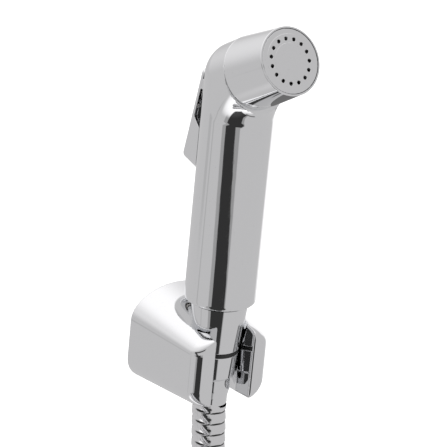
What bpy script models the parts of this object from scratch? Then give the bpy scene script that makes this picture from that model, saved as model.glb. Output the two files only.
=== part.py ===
"""Handheld bidet shower: chromed trigger handset, wall holder and coiled metal hose.

Metres, +Z up.  The origin is the centre of the holder's back face, which lies against the wall
(the plane y = 0), and -Y points away from the wall.  The handset stands upright in the holder,
its head pointing forward and up.  Heights on the handset are measured from its seam, the joint
between the handle's foot and the hose nut, and they grow upward.
"""
import math

import bmesh
import bpy
import numpy as np
from mathutils import Matrix, Vector

MM = 0.001

# Clearances
GAP = 0.3 * MM              # between pieces that seat on each other
FIT = 0.2 * MM              # radial play of a piece in its bore

# Place of the handset in the holder
AXIS_OUT = 30.7 * MM        # handle axis from the wall
SEAM_Z = 25.5 * MM          # seam above the centre of the holder's back

# Handle and head
HANDLE_R = 15.0 * MM
HANDLE_WALL = 2.4 * MM
FOOT_R = 13.8 * MM          # handle radius at the seam, after its rounded lip
FOOT_LIP = 3.0 * MM         # height of that lip
HEAD_RISE = math.radians(29.0)   # head axis above the horizontal
BEND_HEIGHT = 97.7 * MM     # where the head axis meets the handle axis
SLEEVE_START = 10.6 * MM    # seam of the sleeve, along the head axis
FACE_AT = 35.4 * MM         # rim of the sleeve, along the head axis
BARREL_R = 15.4 * MM        # head radius at the sleeve seam
FACE_R = 14.1 * MM          # head radius at the rim
NOSE_R = 12.6 * MM          # spigot of the body inside the sleeve
NOSE_LENGTH = 6.9 * MM
NOSE_BORE_R = 10.6 * MM
CROOK_FILLET = 7.0 * MM     # fillet between the handle and the head, at the front

# Spray face
PLATE_THICK = 2.0 * MM
PLATE_GAP = 0.45 * MM       # visible ring gap between plate and rim
RIM_WALL = 0.75 * MM
PLATE_PROUD = 0.15 * MM
HOLE_COUNT = 15
HOLE_RING_R = 9.1 * MM
HOLE_R = 0.72 * MM
BAND_INNER = 7.4 * MM       # shallow band round the holes
BAND_OUTER = 11.0 * MM
BAND_DEPTH = 0.3 * MM

# Trigger lever
PIVOT_HEIGHT = BEND_HEIGHT - 7.4 * MM
PIVOT_BACK = 11.2 * MM      # pivot behind the handle axis
LEVER_TILT = math.radians(12.0)
LEVER_ABOVE = 6.0 * MM      # length above the pivot
LEVER_BELOW = 37.0 * MM     # length below it
LEVER_HALF_W = 8.9 * MM
LEVER_OFFSET = 5.2 * MM     # outer edge of the plate behind the pivot
LEVER_THICK = 1.5 * MM
LEVER_CROWN = 1.3 * MM
LEVER_TOP_CORNER = 1.5 * MM
LEVER_LOW_CORNER = 2.6 * MM
WING_THICK = 1.5 * MM
WING_START = 15.0 * MM      # the side wings run from here down the lever
WING_FADE = 4.0 * MM        # length over which they reach their depth
WING_EDGE_BACK = 13.4 * MM  # their inner edge behind the handle axis
PIN_R = 1.1 * MM
EAR_R = 2.2 * MM
BOSS_HALF_W = 3.5 * MM

# Pocket in the handle's back
POCKET_SIDE = 0.45 * MM      # side play of the lever
POCKET_FLOOR = 8.8 * MM     # upper floor behind the axis
POCKET_DEEP = 7.5 * MM      # lower floor, where the wings sink in
POCKET_STEP = PIVOT_HEIGHT - 20.3 * MM   # height of the step between them
POCKET_WALL = 1.8 * MM

# Valve
STEM_HEIGHT = PIVOT_HEIGHT - 12.8 * MM
STEM_R = 1.5 * MM
STEM_TIP = 17.3 * MM        # tip behind the handle axis
BLOCK_R = 6.4 * MM
BLOCK_FOOT_R = 5.4 * MM
BLOCK_TOP = STEM_HEIGHT + 9.5 * MM
BLOCK_FOOT = 8.0 * MM       # length of its lower neck
HEAD_SOCKET = 3.0 * MM      # depth of the socket for the head tube
CHAMBER_R = 4.4 * MM
LAND_R = 2.7 * MM
LAND_BACK = 0.6 * MM
LAND_FRONT = -1.0 * MM
BARREL_BACK = 6.7 * MM
BARREL_FRONT = -10.4 * MM
GLAND_FLANGE_R = 5.4 * MM
GLAND_FLANGE = 1.5 * MM
SPRING_R = 2.6 * MM
SPRING_WIRE_R = 0.35 * MM
SPRING_TURNS = 5
PORT_R = 2.0 * MM           # water ports of the block

# Waterway
TUBE_R = 4.6 * MM
TUBE_BORE_R = 3.4 * MM
HEAD_TUBE_R = 4.2 * MM
HEAD_TUBE_BORE_R = 3.0 * MM
HEAD_TUBE_BEND = 14.0 * MM

# Hose end at the handset, heights below the seam
THREAD_R = 10.45 * MM       # G1/2
THREAD_LENGTH = 8.2 * MM
NUT_TOP_R = 12.2 * MM
NUT_LOW_R = 10.1 * MM
NUT_BOTTOM = 21.5 * MM
RING_BOTTOM = 23.2 * MM
CONE_TOP_R = 9.9 * MM
CONE_LOW_R = 9.1 * MM
CONE_BOTTOM = 34.4 * MM
CONE_CHAMFER = 0.9 * MM
TAIL_R = 7.5 * MM
TAIL_FLANGE_R = 9.2 * MM
TAIL_BORE_R = 4.0 * MM
TAIL_FLANGE = 2.5 * MM
BARB_R = 5.2 * MM
BARB_TOOTH = 0.7 * MM       # depth of a barb
BARB_PITCH = 3.0 * MM
BARB_COUNT = 4
WASHER_THICK = 1.8 * MM
WASHER_BORE_R = 6.0 * MM
FERRULE_TOP_R = 7.7 * MM
FERRULE_LOW_R = 7.1 * MM
FERRULE_BOTTOM = 47.0 * MM

# Hose
HOSE_R = 7.3 * MM
COIL_R = 73.5 * MM          # to the middle of the hose
COIL_PITCH = 15.0 * MM      # turns lie side by side
COIL_DROP = 153.5 * MM      # coil centre below the seam
COIL_TURNS = 2.25
END_RUN = 30.0 * MM         # straight hose after the coil
HOSE_SWAY = 2.6 * MM        # the hanging hose stands this far to the right of the handle's axis
TIE_WIDTH = 8.0 * MM
TIE_THICK = 1.2 * MM

# Far end
SUPPLY_FERRULE = 12.0 * MM
SUPPLY_AF = 24.0 * MM       # across the flats of the hexagonal nut
SUPPLY_LENGTH = 16.0 * MM
SUPPLY_TAIL = 7.0 * MM      # shank between ferrule and nut
SUPPLY_FLOOR = 2.6 * MM     # floor of the nut that holds the tail's flange
SUPPLY_FLANGE = 1.8 * MM
SUPPLY_CHAMFER = 1.6 * MM   # length of the turned corners

# Holder
BACK_HALF_W = 22.6 * MM
FRONT_HALF_W = 18.6 * MM
HOLDER_DEPTH = 45.0 * MM
BACK_HALF_H = 20.9 * MM
SIDE_TOP = 6.6 * MM         # where the arched top begins
FRONT_TOP = 15.0 * MM       # top of the arch at the front
FRONT_BOTTOM = -17.0 * MM
BOTTOM_R = 7.4 * MM
FRONT_SIDE_R = 6.0 * MM     # upright corners of the front
FRONT_EDGE_R = 1.2 * MM     # its edges along the top and the bottom
SLOT_HALF_W = 9.5 * MM
SLOT_EDGE_R = 1.3 * MM
SEAT_TOP = 8.5 * MM         # the conical seat ends here and the funnel begins
FUNNEL_TOP = 22.0 * MM
FUNNEL_BACK = 6.5 * MM      # the funnel's top ring lies behind the axis
FUNNEL_R = 16.25 * MM       # half its width
FUNNEL_POWER = 4.0          # that ring is a circle made squarer: |x|^n + |y|^n = r^n
BORE_LOW_R = 10.3 * MM
MOULD_WALL = 3.2 * MM
WEB_HALF_W = 7.0 * MM       # centre web between the pockets in the back
SCREW_R = 2.2 * MM
SCREW_HEAD_R = 4.2 * MM
SCREW_SPACING = 17.0 * MM

# Facets
FINE = 36
MEDIUM = 24
COARSE = 16


def clear_scene():
    for thing in list(bpy.data.objects):
        bpy.data.objects.remove(thing, do_unlink=True)


def collection(name):
    made = bpy.data.collections.new(name)
    bpy.context.scene.collection.children.link(made)
    return made


def material(name, colour, roughness, metallic):
    made = bpy.data.materials.new(name)
    made.use_nodes = True
    shader = made.node_tree.nodes["Principled BSDF"]
    shader.inputs["Base Color"].default_value = (*colour, 1.0)
    shader.inputs["Roughness"].default_value = roughness
    shader.inputs["Metallic"].default_value = metallic
    return made


clear_scene()
PARTS = collection("bidet_shower")
CUTTERS = collection("bidet_shower_cutters")

FINISHES = {
    "chrome": ((0.80, 0.80, 0.81), 0.06, 1.0),
    "brass": ((0.78, 0.60, 0.30), 0.30, 1.0),
    "steel": ((0.62, 0.62, 0.64), 0.25, 1.0),
    "black_plastic": ((0.02, 0.02, 0.02), 0.40, 0.0),
    "white_plastic": ((0.82, 0.82, 0.80), 0.45, 0.0),
    "rubber": ((0.03, 0.03, 0.03), 0.70, 0.0),
}


# Frames: a piece is modelled about its own Z axis and placed by one of these

def axis_frame(height=0.0):
    """Upright on the handle axis, at a height from the seam."""
    return Matrix.Translation((0.0, -AXIS_OUT, SEAM_Z + height))


def head_frame(along=0.0):
    """Z runs forward along the head axis, from the bend."""
    tilt = Matrix.Rotation(math.pi / 2 - HEAD_RISE, 4, "X")
    return axis_frame(BEND_HEIGHT) @ tilt @ Matrix.Translation((0.0, 0.0, along))


def stem_frame():
    """Z runs backward along the valve stem, from the handle axis."""
    return axis_frame(STEM_HEIGHT) @ Matrix.Rotation(-math.pi / 2, 4, "X")


def coil_centre():
    """Middle of the turn where the hose enters the coil."""
    return Vector((HOSE_SWAY - COIL_R, -AXIS_OUT, SEAM_Z - COIL_DROP))


def supply_frame():
    """Z runs along the hose's far end, from the foot of the coil, toward -X."""
    foot = coil_centre() + Vector((0.0, -COIL_TURNS * COIL_PITCH, -COIL_R))
    return Matrix.Translation(foot) @ Matrix.Rotation(-math.pi / 2, 4, "Y")


# Object makers

def place(name, mesh, frame, finish=None, home=None):
    obj = bpy.data.objects.new(name, mesh)
    obj.matrix_world = frame
    (home or PARTS).objects.link(obj)
    if finish:
        mesh.materials.append(material(name, *FINISHES[finish]))
    return obj


def as_cutter(obj):
    obj.hide_render = True
    obj.display_type = "WIRE"
    return obj


def smooth(mesh, angle=35.0):
    mesh.shade_smooth()
    mesh.set_sharp_from_angle(angle=math.radians(angle))


def turned(name, profile, frame, finish=None, steps=MEDIUM, closed=True, home=None):
    """A profile of (radius, height), down the outer side first, turned about Z."""
    mesh = bpy.data.meshes.new(name)
    points = [(radius, 0.0, height) for radius, height in profile]
    edges = [(i, i + 1) for i in range(len(points) - 1)]
    if closed:
        edges.append((len(points) - 1, 0))
    mesh.from_pydata(points, edges, [])
    obj = place(name, mesh, frame, finish, home)
    screw = obj.modifiers.new("turn", "SCREW")
    screw.axis = "Z"
    screw.angle = 2 * math.pi
    screw.steps = steps
    screw.render_steps = steps
    screw.use_merge_vertices = True
    screw.merge_threshold = 0.00001
    screw.use_smooth_shade = True
    return obj


def ring(name, outer, inner, top, bottom, frame, finish, steps=MEDIUM):
    """A plain turned ring between two heights."""
    profile = [(outer, top), (outer, bottom), (inner, bottom), (inner, top)]
    return turned(name, profile, frame, finish, steps)


def rod(name, radius, top, bottom, frame, finish=None, steps=MEDIUM, home=None):
    """A plain cylinder between two heights of a frame."""
    builder = bmesh.new()
    bmesh.ops.create_cone(builder, cap_ends=True, segments=steps, radius1=radius,
                          radius2=radius, depth=top - bottom)
    bmesh.ops.translate(builder, verts=builder.verts, vec=(0.0, 0.0, (top + bottom) / 2))
    mesh = bpy.data.meshes.new(name)
    builder.to_mesh(mesh)
    builder.free()
    smooth(mesh)
    return place(name, mesh, frame, finish, home)


def cone_cutter(name, top_r, top, low_r, bottom, frame, steps=FINE):
    builder = bmesh.new()
    bmesh.ops.create_cone(builder, cap_ends=True, segments=steps, radius1=low_r,
                          radius2=top_r, depth=top - bottom)
    bmesh.ops.translate(builder, verts=builder.verts, vec=(0.0, 0.0, (top + bottom) / 2))
    mesh = bpy.data.meshes.new(name)
    builder.to_mesh(mesh)
    builder.free()
    return as_cutter(place(name, mesh, frame, home=CUTTERS))


def rod_cutter(name, radius, top, bottom, frame, steps=COARSE):
    return cone_cutter(name, radius, top, radius, bottom, frame, steps)


def box_mesh(name, low, high):
    builder = bmesh.new()
    bmesh.ops.create_cube(builder, size=1.0)
    size = [b - a for a, b in zip(low, high)]
    middle = [(a + b) / 2 for a, b in zip(low, high)]
    bmesh.ops.scale(builder, verts=builder.verts, vec=size)
    bmesh.ops.translate(builder, verts=builder.verts, vec=middle)
    mesh = bpy.data.meshes.new(name)
    builder.to_mesh(mesh)
    builder.free()
    return mesh


def box_cutter(name, low, high, frame):
    return as_cutter(place(name, box_mesh(name, low, high), frame, home=CUTTERS))


def prism(name, outline, half_width, frame):
    """A side outline of (y, z) points, drawn as a face and extruded across X."""
    builder = bmesh.new()
    corners = [builder.verts.new((-half_width, y, z)) for y, z in outline]
    face = builder.faces.new(corners)
    pushed = bmesh.ops.extrude_face_region(builder, geom=[face])
    moved = [item for item in pushed["geom"] if isinstance(item, bmesh.types.BMVert)]
    bmesh.ops.translate(builder, verts=moved, vec=(2 * half_width, 0.0, 0.0))
    bmesh.ops.recalc_face_normals(builder, faces=builder.faces)
    mesh = bpy.data.meshes.new(name)
    builder.to_mesh(mesh)
    builder.free()
    return as_cutter(place(name, mesh, frame, home=CUTTERS))


def loft(name, rings, frame, finish=None, home=None, endless=False, angle=35.0):
    """Closed rings of points, all alike in count, joined in order; the ends are capped."""
    count = len(rings[0])
    points = [tuple(p) for r in rings for p in r]
    faces = []
    spans = len(rings) if endless else len(rings) - 1
    for i in range(spans):
        here = i * count
        there = ((i + 1) % len(rings)) * count
        for j in range(count):
            k = (j + 1) % count
            faces.append((here + j, here + k, there + k, there + j))
    if not endless:
        faces.append(tuple(range(count - 1, -1, -1)))
        faces.append(tuple(range((len(rings) - 1) * count, len(rings) * count)))
    mesh = bpy.data.meshes.new(name)
    mesh.from_pydata(points, [], faces)
    builder = bmesh.new()
    builder.from_mesh(mesh)
    bmesh.ops.recalc_face_normals(builder, faces=builder.faces)
    builder.to_mesh(mesh)
    builder.free()
    smooth(mesh, angle)
    return place(name, mesh, frame, finish, home)


def boolean(target, tool, operation="DIFFERENCE"):
    step = target.modifiers.new(operation.lower(), "BOOLEAN")
    step.operation = operation
    step.solver = "EXACT"
    step.object = tool
    return target


def unit(vector):
    return vector / np.linalg.norm(vector)


# Handset body: handle and head barrel, joined over a ball and filleted at the front

def barrel_radius(along):
    """The head's radius grows from the handle's at the bend to its own at the sleeve."""
    share = np.clip(along / SLEEVE_START, 0.0, 1.0)
    return HANDLE_R + (BARREL_R - HANDLE_R) * share


def body_distance(point, inset):
    """Signed distance, roughly, of a point to the body's skin; forward is +Y here."""
    head = np.array([0.0, math.cos(HEAD_RISE), math.sin(HEAD_RISE)])
    offset = point - np.array([0.0, 0.0, BEND_HEIGHT])
    along = float(offset @ head)
    ball = float(np.linalg.norm(offset)) - HANDLE_R + inset
    handle = math.hypot(point[0], point[1]) - HANDLE_R + inset
    barrel = float(np.linalg.norm(offset - along * head)) - barrel_radius(along) + inset
    if offset[2] > 0.0:
        handle = ball
    if along < 0.0:
        barrel = ball
    crook = unit(head - np.array([0.0, 0.0, 1.0]))
    share = min(max(float(offset @ crook) / (0.8 * HANDLE_R), 0.0), 1.0)
    fillet = CROOK_FILLET * share * share * (3.0 - 2.0 * share)
    if handle < fillet and barrel < fillet:
        return fillet - math.hypot(fillet - handle, fillet - barrel)
    return min(handle, barrel)


def skin_radius(centre, direction, inset):
    """Distance from the centre to the skin along a direction, by halving."""
    near = 0.0
    far = 2.5 * HANDLE_R
    for _ in range(40):
        middle = (near + far) / 2
        if body_distance(centre + middle * direction, inset) < 0.0:
            near = middle
        else:
            far = middle
    return (near + far) / 2


def bend_rings(inset, count, steps):
    """Sections from the handle to the sleeve seam, fanned about a line in the crook."""
    start = BEND_HEIGHT - 0.93 * HANDLE_R
    turn = math.pi / 2 - HEAD_RISE
    hinge_forward = (SLEEVE_START - (start - BEND_HEIGHT) * math.sin(HEAD_RISE)) / math.cos(HEAD_RISE)
    hinge = np.array([0.0, hinge_forward, start])
    seat = np.array([0.0, SLEEVE_START * math.cos(HEAD_RISE),
                     BEND_HEIGHT + SLEEVE_START * math.sin(HEAD_RISE)])
    reach_end = float(np.linalg.norm(seat - hinge))
    rings = []
    for i in range(steps + 1):
        share = i / steps
        angle = turn * share
        outward = np.array([0.0, -math.cos(angle), math.sin(angle)])
        reach = hinge_forward + (reach_end - hinge_forward) * share
        centre = hinge + reach * outward
        section = []
        for j in range(count):
            around = 2 * math.pi * j / count
            direction = np.array([math.cos(around), 0.0, 0.0]) - math.sin(around) * outward
            section.append(centre + skin_radius(centre, direction, inset) * direction)
        rings.append(section)
    return start, rings


def circle(radius, height, count):
    return [np.array([radius * math.cos(2 * math.pi * j / count),
                      radius * math.sin(2 * math.pi * j / count), height]) for j in range(count)]


def head_circle(radius, along, count):
    """A circle about the head axis, in the same sense as the handle's circles."""
    head = np.array([0.0, math.cos(HEAD_RISE), math.sin(HEAD_RISE)])
    down = np.array([0.0, math.sin(HEAD_RISE), -math.cos(HEAD_RISE)])
    centre = np.array([0.0, 0.0, BEND_HEIGHT]) + along * head
    rings = []
    for j in range(count):
        around = 2 * math.pi * j / count
        rings.append(centre + radius * (math.cos(around) * np.array([1.0, 0.0, 0.0])
                                        + math.sin(around) * down))
    return rings


def forward_frame():
    """The body's sections are worked out with +Y forward; this turns them round."""
    return axis_frame() @ Matrix.Rotation(math.pi, 4, "Z")


def pocket_outline(grow):
    """Side outline of the lever's pocket: (back, height), grown for its tray."""
    top = BEND_HEIGHT - 0.1 * MM + grow
    foot = PIVOT_HEIGHT - LEVER_BELOW * math.cos(LEVER_TILT) - 1.0 * MM - grow
    mouth = 1.5 * HANDLE_R
    step = 1.0 * MM
    return [(mouth, top), (POCKET_FLOOR - grow, top), (POCKET_FLOOR - grow, POCKET_STEP + step),
            (POCKET_DEEP - grow, POCKET_STEP - step), (POCKET_DEEP - grow, foot), (mouth, foot)]


def make_handset_body():
    count = 36
    lip_steps = 4
    start, bend = bend_rings(0.0, count, 13)
    rings = []
    for i in range(lip_steps + 1):
        angle = math.pi / 2 * i / lip_steps
        radius = FOOT_R + (HANDLE_R - FOOT_R) * math.sin(angle)
        rings.append(circle(radius, FOOT_LIP * (1 - math.cos(angle)), count))
    rings.extend(bend)
    nose_end = SLEEVE_START + NOSE_LENGTH
    rings.append(head_circle(NOSE_R, SLEEVE_START, count))
    rings.append(head_circle(NOSE_R, nose_end, count))
    body = loft("handset_body", rings, forward_frame(), "chrome", angle=30.0)

    inner_start, inner_bend = bend_rings(HANDLE_WALL, MEDIUM, 8)
    bore = HANDLE_R - HANDLE_WALL
    inner = [circle(bore, -1.0 * MM, MEDIUM)] + inner_bend[:-1]
    inner.append(head_circle(NOSE_BORE_R, SLEEVE_START - 1.0 * MM, MEDIUM))
    inner.append(head_circle(NOSE_BORE_R, nose_end + 1.0 * MM, MEDIUM))
    void = as_cutter(loft("body_void", inner, forward_frame(), home=CUTTERS))
    half = LEVER_HALF_W + POCKET_SIDE
    boolean(void, prism("pocket_tray", pocket_outline(POCKET_WALL), half + POCKET_WALL, axis_frame()))
    boolean(body, void)
    boolean(body, prism("pocket", pocket_outline(0.0), half, axis_frame()))

    boss_back = PIVOT_BACK + PIN_R + 0.8 * MM
    boss = [(POCKET_FLOOR - POCKET_WALL / 2, PIVOT_HEIGHT - 3.5 * MM),
            (POCKET_FLOOR - POCKET_WALL / 2, PIVOT_HEIGHT + 3.5 * MM),
            (PIVOT_BACK, PIVOT_HEIGHT + 2.4 * MM), (boss_back, PIVOT_HEIGHT + 1.2 * MM),
            (boss_back, PIVOT_HEIGHT - 1.2 * MM), (PIVOT_BACK, PIVOT_HEIGHT - 2.4 * MM)]
    boolean(body, prism("pin_boss", boss, BOSS_HALF_W, axis_frame()), "UNION")
    boolean(body, pin_cutter("pin_bore", PIN_R + 0.15 * MM, LEVER_HALF_W - 0.1 * MM))
    boolean(body, rod_cutter("gland_hole", CHAMBER_R, POCKET_FLOOR + 1.0 * MM,
                             POCKET_FLOOR - POCKET_WALL - 1.0 * MM, stem_frame()))
    groove = turned("seal_groove", [(NOSE_R + 1.0 * MM, 0.9 * MM), (NOSE_R + 1.0 * MM, -0.9 * MM),
                                    (NOSE_R - 1.0 * MM, -0.9 * MM), (NOSE_R - 1.0 * MM, 0.9 * MM)],
                    head_frame(SLEEVE_START + NOSE_LENGTH / 2), steps=count, home=CUTTERS)
    boolean(body, as_cutter(groove))


def pin_frame():
    """Z runs across the handset through the lever's pivot."""
    spot = axis_frame(PIVOT_HEIGHT) @ Matrix.Translation((0.0, PIVOT_BACK, 0.0))
    return spot @ Matrix.Rotation(math.pi / 2, 4, "Y")


def pin_cutter(name, radius, half_length):
    return rod_cutter(name, radius, half_length, -half_length, pin_frame(), 16)


def make_head():
    nose_end = SLEEVE_START + NOSE_LENGTH
    start = SLEEVE_START + 0.15 * MM
    rim_in = FACE_R - RIM_WALL
    ledge = FACE_AT - PLATE_THICK - 1.2 * MM
    ledge_r = rim_in - 2.0 * MM
    bore = NOSE_R + FIT
    shoulder = nose_end + 0.9 * MM
    slope = (BARREL_R - FACE_R) / (FACE_AT - SLEEVE_START)
    edge = 0.5 * MM
    sleeve = [(rim_in, FACE_AT), (FACE_R - edge, FACE_AT), (FACE_R, FACE_AT - edge),
              (BARREL_R - slope * 0.4 * MM, start + 0.4 * MM), (BARREL_R - 0.3 * MM, start),
              (bore, start), (bore, shoulder), (bore - 0.7 * MM, shoulder),
              (bore - 0.7 * MM, ledge - 3.0 * MM), (ledge_r, ledge - 3.0 * MM), (ledge_r, ledge),
              (rim_in, ledge)]
    turned("head_sleeve", sleeve, head_frame(), "chrome", FINE)

    plate_r = rim_in - PLATE_GAP
    top = FACE_AT + PLATE_PROUD
    back = top - PLATE_THICK
    low = top - BAND_DEPTH
    soft = 0.25 * MM
    face = [(0.0, top), (BAND_INNER - soft, top), (BAND_INNER, low), (BAND_OUTER, low),
            (BAND_OUTER + soft, top), (plate_r - soft, top), (plate_r, top - soft),
            (plate_r, back), (0.0, back)]
    plate = turned("spray_plate", face, head_frame(), "chrome", FINE, closed=False)
    boolean(plate, hole_cutters(HOLE_COUNT, HOLE_R, HOLE_RING_R, top + 1.0 * MM,
                                back - 1.0 * MM, 10, "spray_holes"))

    ring("plate_seal", plate_r - 0.1 * MM, ledge_r + 0.2 * MM, back - FIT, ledge + FIT,
         head_frame(), "rubber")
    disc_top = ledge - 3.0 * MM - GAP
    disc = rod("flow_diffuser", bore - 0.7 * MM - FIT, disc_top, disc_top - 1.6 * MM,
               head_frame(), "white_plastic")
    boolean(disc, hole_cutters(6, 1.6 * MM, 7.0 * MM, disc_top + 1.0 * MM,
                               disc_top - 3.0 * MM, 12, "diffuser_holes"))
    ring("head_bush", NOSE_BORE_R - FIT, HEAD_TUBE_R + FIT, nose_end - 0.4 * MM,
         nose_end - 3.6 * MM, head_frame(), "white_plastic")
    torus("head_seal", NOSE_R - 0.35 * MM, 0.5 * MM, head_frame(SLEEVE_START + NOSE_LENGTH / 2))


def hole_cutters(count, radius, ring_radius, top, bottom, sides, name):
    """One cutter object of several round rods on a circle about the head axis."""
    builder = bmesh.new()
    for i in range(count):
        angle = 2 * math.pi * i / count + math.pi / 2
        middle = (ring_radius * math.cos(angle), ring_radius * math.sin(angle), (top + bottom) / 2)
        bmesh.ops.create_cone(builder, cap_ends=True, segments=sides, radius1=radius,
                              radius2=radius, depth=top - bottom,
                              matrix=Matrix.Translation(middle))
    mesh = bpy.data.meshes.new(name)
    builder.to_mesh(mesh)
    builder.free()
    return as_cutter(place(name, mesh, head_frame(), home=CUTTERS))


def torus(name, ring_radius, wire_radius, frame, steps=MEDIUM):
    sides = 8
    profile = [(ring_radius + wire_radius * math.cos(2 * math.pi * i / sides),
                -wire_radius * math.sin(2 * math.pi * i / sides)) for i in range(sides)]
    return turned(name, profile, frame, "rubber", steps)


# Trigger lever

def lever_frame():
    """At the pivot: Y away from the handle, Z up the lever."""
    spot = axis_frame(PIVOT_HEIGHT) @ Matrix.Translation((0.0, PIVOT_BACK, 0.0))
    return spot @ Matrix.Rotation(LEVER_TILT, 4, "X")


def wing_depth(down):
    """How far the wings reach in front of the pivot line, at a distance down the lever."""
    edge = (WING_EDGE_BACK - PIVOT_BACK) / math.cos(LEVER_TILT)
    return edge - down * math.tan(LEVER_TILT)


def lever_half_width(down):
    """Half the lever's width, with rounded corners at both ends."""
    left, corner = min((down + LEVER_ABOVE, LEVER_TOP_CORNER), (LEVER_BELOW - down, LEVER_LOW_CORNER))
    if left >= corner:
        return LEVER_HALF_W
    return LEVER_HALF_W - corner + math.sqrt(max(corner ** 2 - (corner - left) ** 2, 0.0))


def lever_section(down):
    """Closed outline across the lever: crowned back, flat inside, a wing at each side."""
    half = lever_half_width(down)
    inside = half - WING_THICK
    back = LEVER_OFFSET
    under = back - LEVER_THICK
    lip = under - 0.4 * MM
    fade = min(max((down - WING_START) / WING_FADE, 0.0), 1.0)
    bottom_round = 0.5 * max(0.0, down - (LEVER_BELOW - LEVER_LOW_CORNER))
    edge = lip + (wing_depth(down) + bottom_round - lip) * fade * fade * (3 - 2 * fade)
    crown_steps = 8
    points = []
    for i in range(crown_steps + 1):
        share = -1 + 2 * i / crown_steps
        crown = LEVER_CROWN * (1 - share * share) * min(half / LEVER_HALF_W, 1.0)
        points.append((half * share, back + crown, -down))
    points += [(half, edge, -down), (inside, edge, -down), (inside, under, -down),
               (-inside, under, -down), (-inside, edge, -down), (-half, edge, -down)]
    return points


def make_lever():
    turn = [1 - math.cos(math.pi / 2 * share) for share in (0.25, 0.5, 0.75, 1.0)]
    stations = [-LEVER_ABOVE + LEVER_TOP_CORNER * c for c in turn] + [-1.0 * MM, 4.0 * MM]
    stations += [WING_START + WING_FADE * k / 4 for k in range(5)]
    stations += [LEVER_BELOW * share for share in (0.65, 0.76)]
    stations += [LEVER_BELOW - LEVER_LOW_CORNER * c for c in reversed(turn)]
    lever = loft("trigger_lever", [lever_section(s) for s in stations], lever_frame(), "chrome",
                 angle=40.0)
    ear_in = LEVER_HALF_W - WING_THICK
    for side, name in ((1, "ear_right"), (-1, "ear_left")):
        outer = LEVER_HALF_W - 0.05 * MM
        low, high = sorted((side * ear_in, side * outer))
        ear = rod_cutter(name, EAR_R, high, low, pin_frame(), 20)
        web = box_cutter(name + "_web", (low, 0.0, -EAR_R), (high, LEVER_OFFSET - 0.5 * MM, EAR_R),
                         lever_frame())
        boolean(lever, web, "UNION")
        boolean(lever, ear, "UNION")
    boolean(lever, pin_cutter("ear_bores", PIN_R + 0.15 * MM, LEVER_HALF_W + 1.0 * MM))
    reach = LEVER_HALF_W - 0.3 * MM
    rod("lever_pin", PIN_R, reach, -reach, pin_frame(), "steel", 16)


# Valve inside the handle

def make_valve():
    frame = stem_frame()
    block = rod("valve_block", BLOCK_R, BLOCK_TOP, STEM_HEIGHT - BLOCK_R,
                axis_frame(), "brass")
    boolean(block, rod_cutter("block_foot", BLOCK_FOOT_R, STEM_HEIGHT - BLOCK_R + 1.0 * MM,
                              STEM_HEIGHT - BLOCK_R - BLOCK_FOOT, axis_frame(), MEDIUM), "UNION")
    boolean(block, rod_cutter("block_barrel", BLOCK_R, BARREL_BACK, BARREL_FRONT, frame,
                              MEDIUM), "UNION")
    over = 1.0 * MM
    boolean(block, rod_cutter("bore_back", CHAMBER_R, BARREL_BACK + over, LAND_BACK, frame))
    boolean(block, rod_cutter("bore_land", LAND_R, LAND_BACK + over, LAND_FRONT - over, frame))
    boolean(block, rod_cutter("bore_front", CHAMBER_R, LAND_FRONT, BARREL_FRONT - over, frame))
    inlet = axis_frame() @ Matrix.Translation((0.0, -3.2 * MM, 0.0))
    outlet = axis_frame() @ Matrix.Translation((0.0, 2.9 * MM, 0.0))
    socket_top = STEM_HEIGHT - BLOCK_R - 0.4 * MM
    boolean(block, rod_cutter("inlet_port", PORT_R, STEM_HEIGHT, socket_top - over, inlet, 16))
    boolean(block, rod_cutter("outlet_port", PORT_R, BLOCK_TOP - 2.0 * MM, STEM_HEIGHT,
                              outlet, 16))
    boolean(block, rod_cutter("riser_socket", TUBE_R + 0.1 * MM, socket_top,
                              STEM_HEIGHT - BLOCK_R - BLOCK_FOOT - over, axis_frame(), MEDIUM))
    boolean(block, rod_cutter("head_socket", HEAD_TUBE_R + FIT, BLOCK_TOP + over,
                              BLOCK_TOP - HEAD_SOCKET, axis_frame(), MEDIUM))

    rod("valve_cap", CHAMBER_R - FIT, BARREL_FRONT + 2.8 * MM, BARREL_FRONT + 0.2 * MM, frame,
        "brass", COARSE)

    land_gap = LAND_FRONT - GAP
    washer_low = land_gap - 1.65 * MM
    collar_top = washer_low - 0.15 * MM
    collar_low = collar_top - 0.8 * MM
    button_low = STEM_TIP - 2.0 * MM
    button_top = STEM_TIP - 0.8 * MM
    stem = [(0.0, STEM_TIP), (1.2 * MM, STEM_TIP), (STEM_R, STEM_TIP - 0.3 * MM),
            (STEM_R, button_top), (3.4 * MM, button_top), (3.4 * MM, button_low),
            (STEM_R, button_low), (STEM_R, collar_top), (3.6 * MM, collar_top),
            (3.6 * MM, collar_low), (0.0, collar_low)]
    turned("valve_stem", stem, frame, "steel", COARSE, closed=False)
    ring("valve_washer", 3.6 * MM, STEM_R + 0.15 * MM, land_gap, washer_low, frame, "rubber",
         COARSE)

    gland_seat = POCKET_FLOOR + FIT
    gland_top = gland_seat + GLAND_FLANGE
    gland_end = LAND_BACK + 2.8 * MM
    cup_floor = gland_end + 2.6 * MM
    gland = [(GLAND_FLANGE_R, gland_top), (GLAND_FLANGE_R, gland_seat),
             (CHAMBER_R - FIT, gland_seat), (CHAMBER_R - FIT, gland_end),
             (STEM_R + FIT, gland_end), (STEM_R + FIT, cup_floor), (3.5 * MM, cup_floor),
             (3.5 * MM, gland_top)]
    turned("valve_gland", gland, frame, "brass", COARSE)
    ring("stem_seal", CHAMBER_R - FIT, STEM_R + 0.15 * MM, gland_end - FIT,
         gland_end - 1.1 * MM, frame, "rubber", COARSE)
    make_spring(cup_floor + FIT, button_low - FIT)


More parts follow.
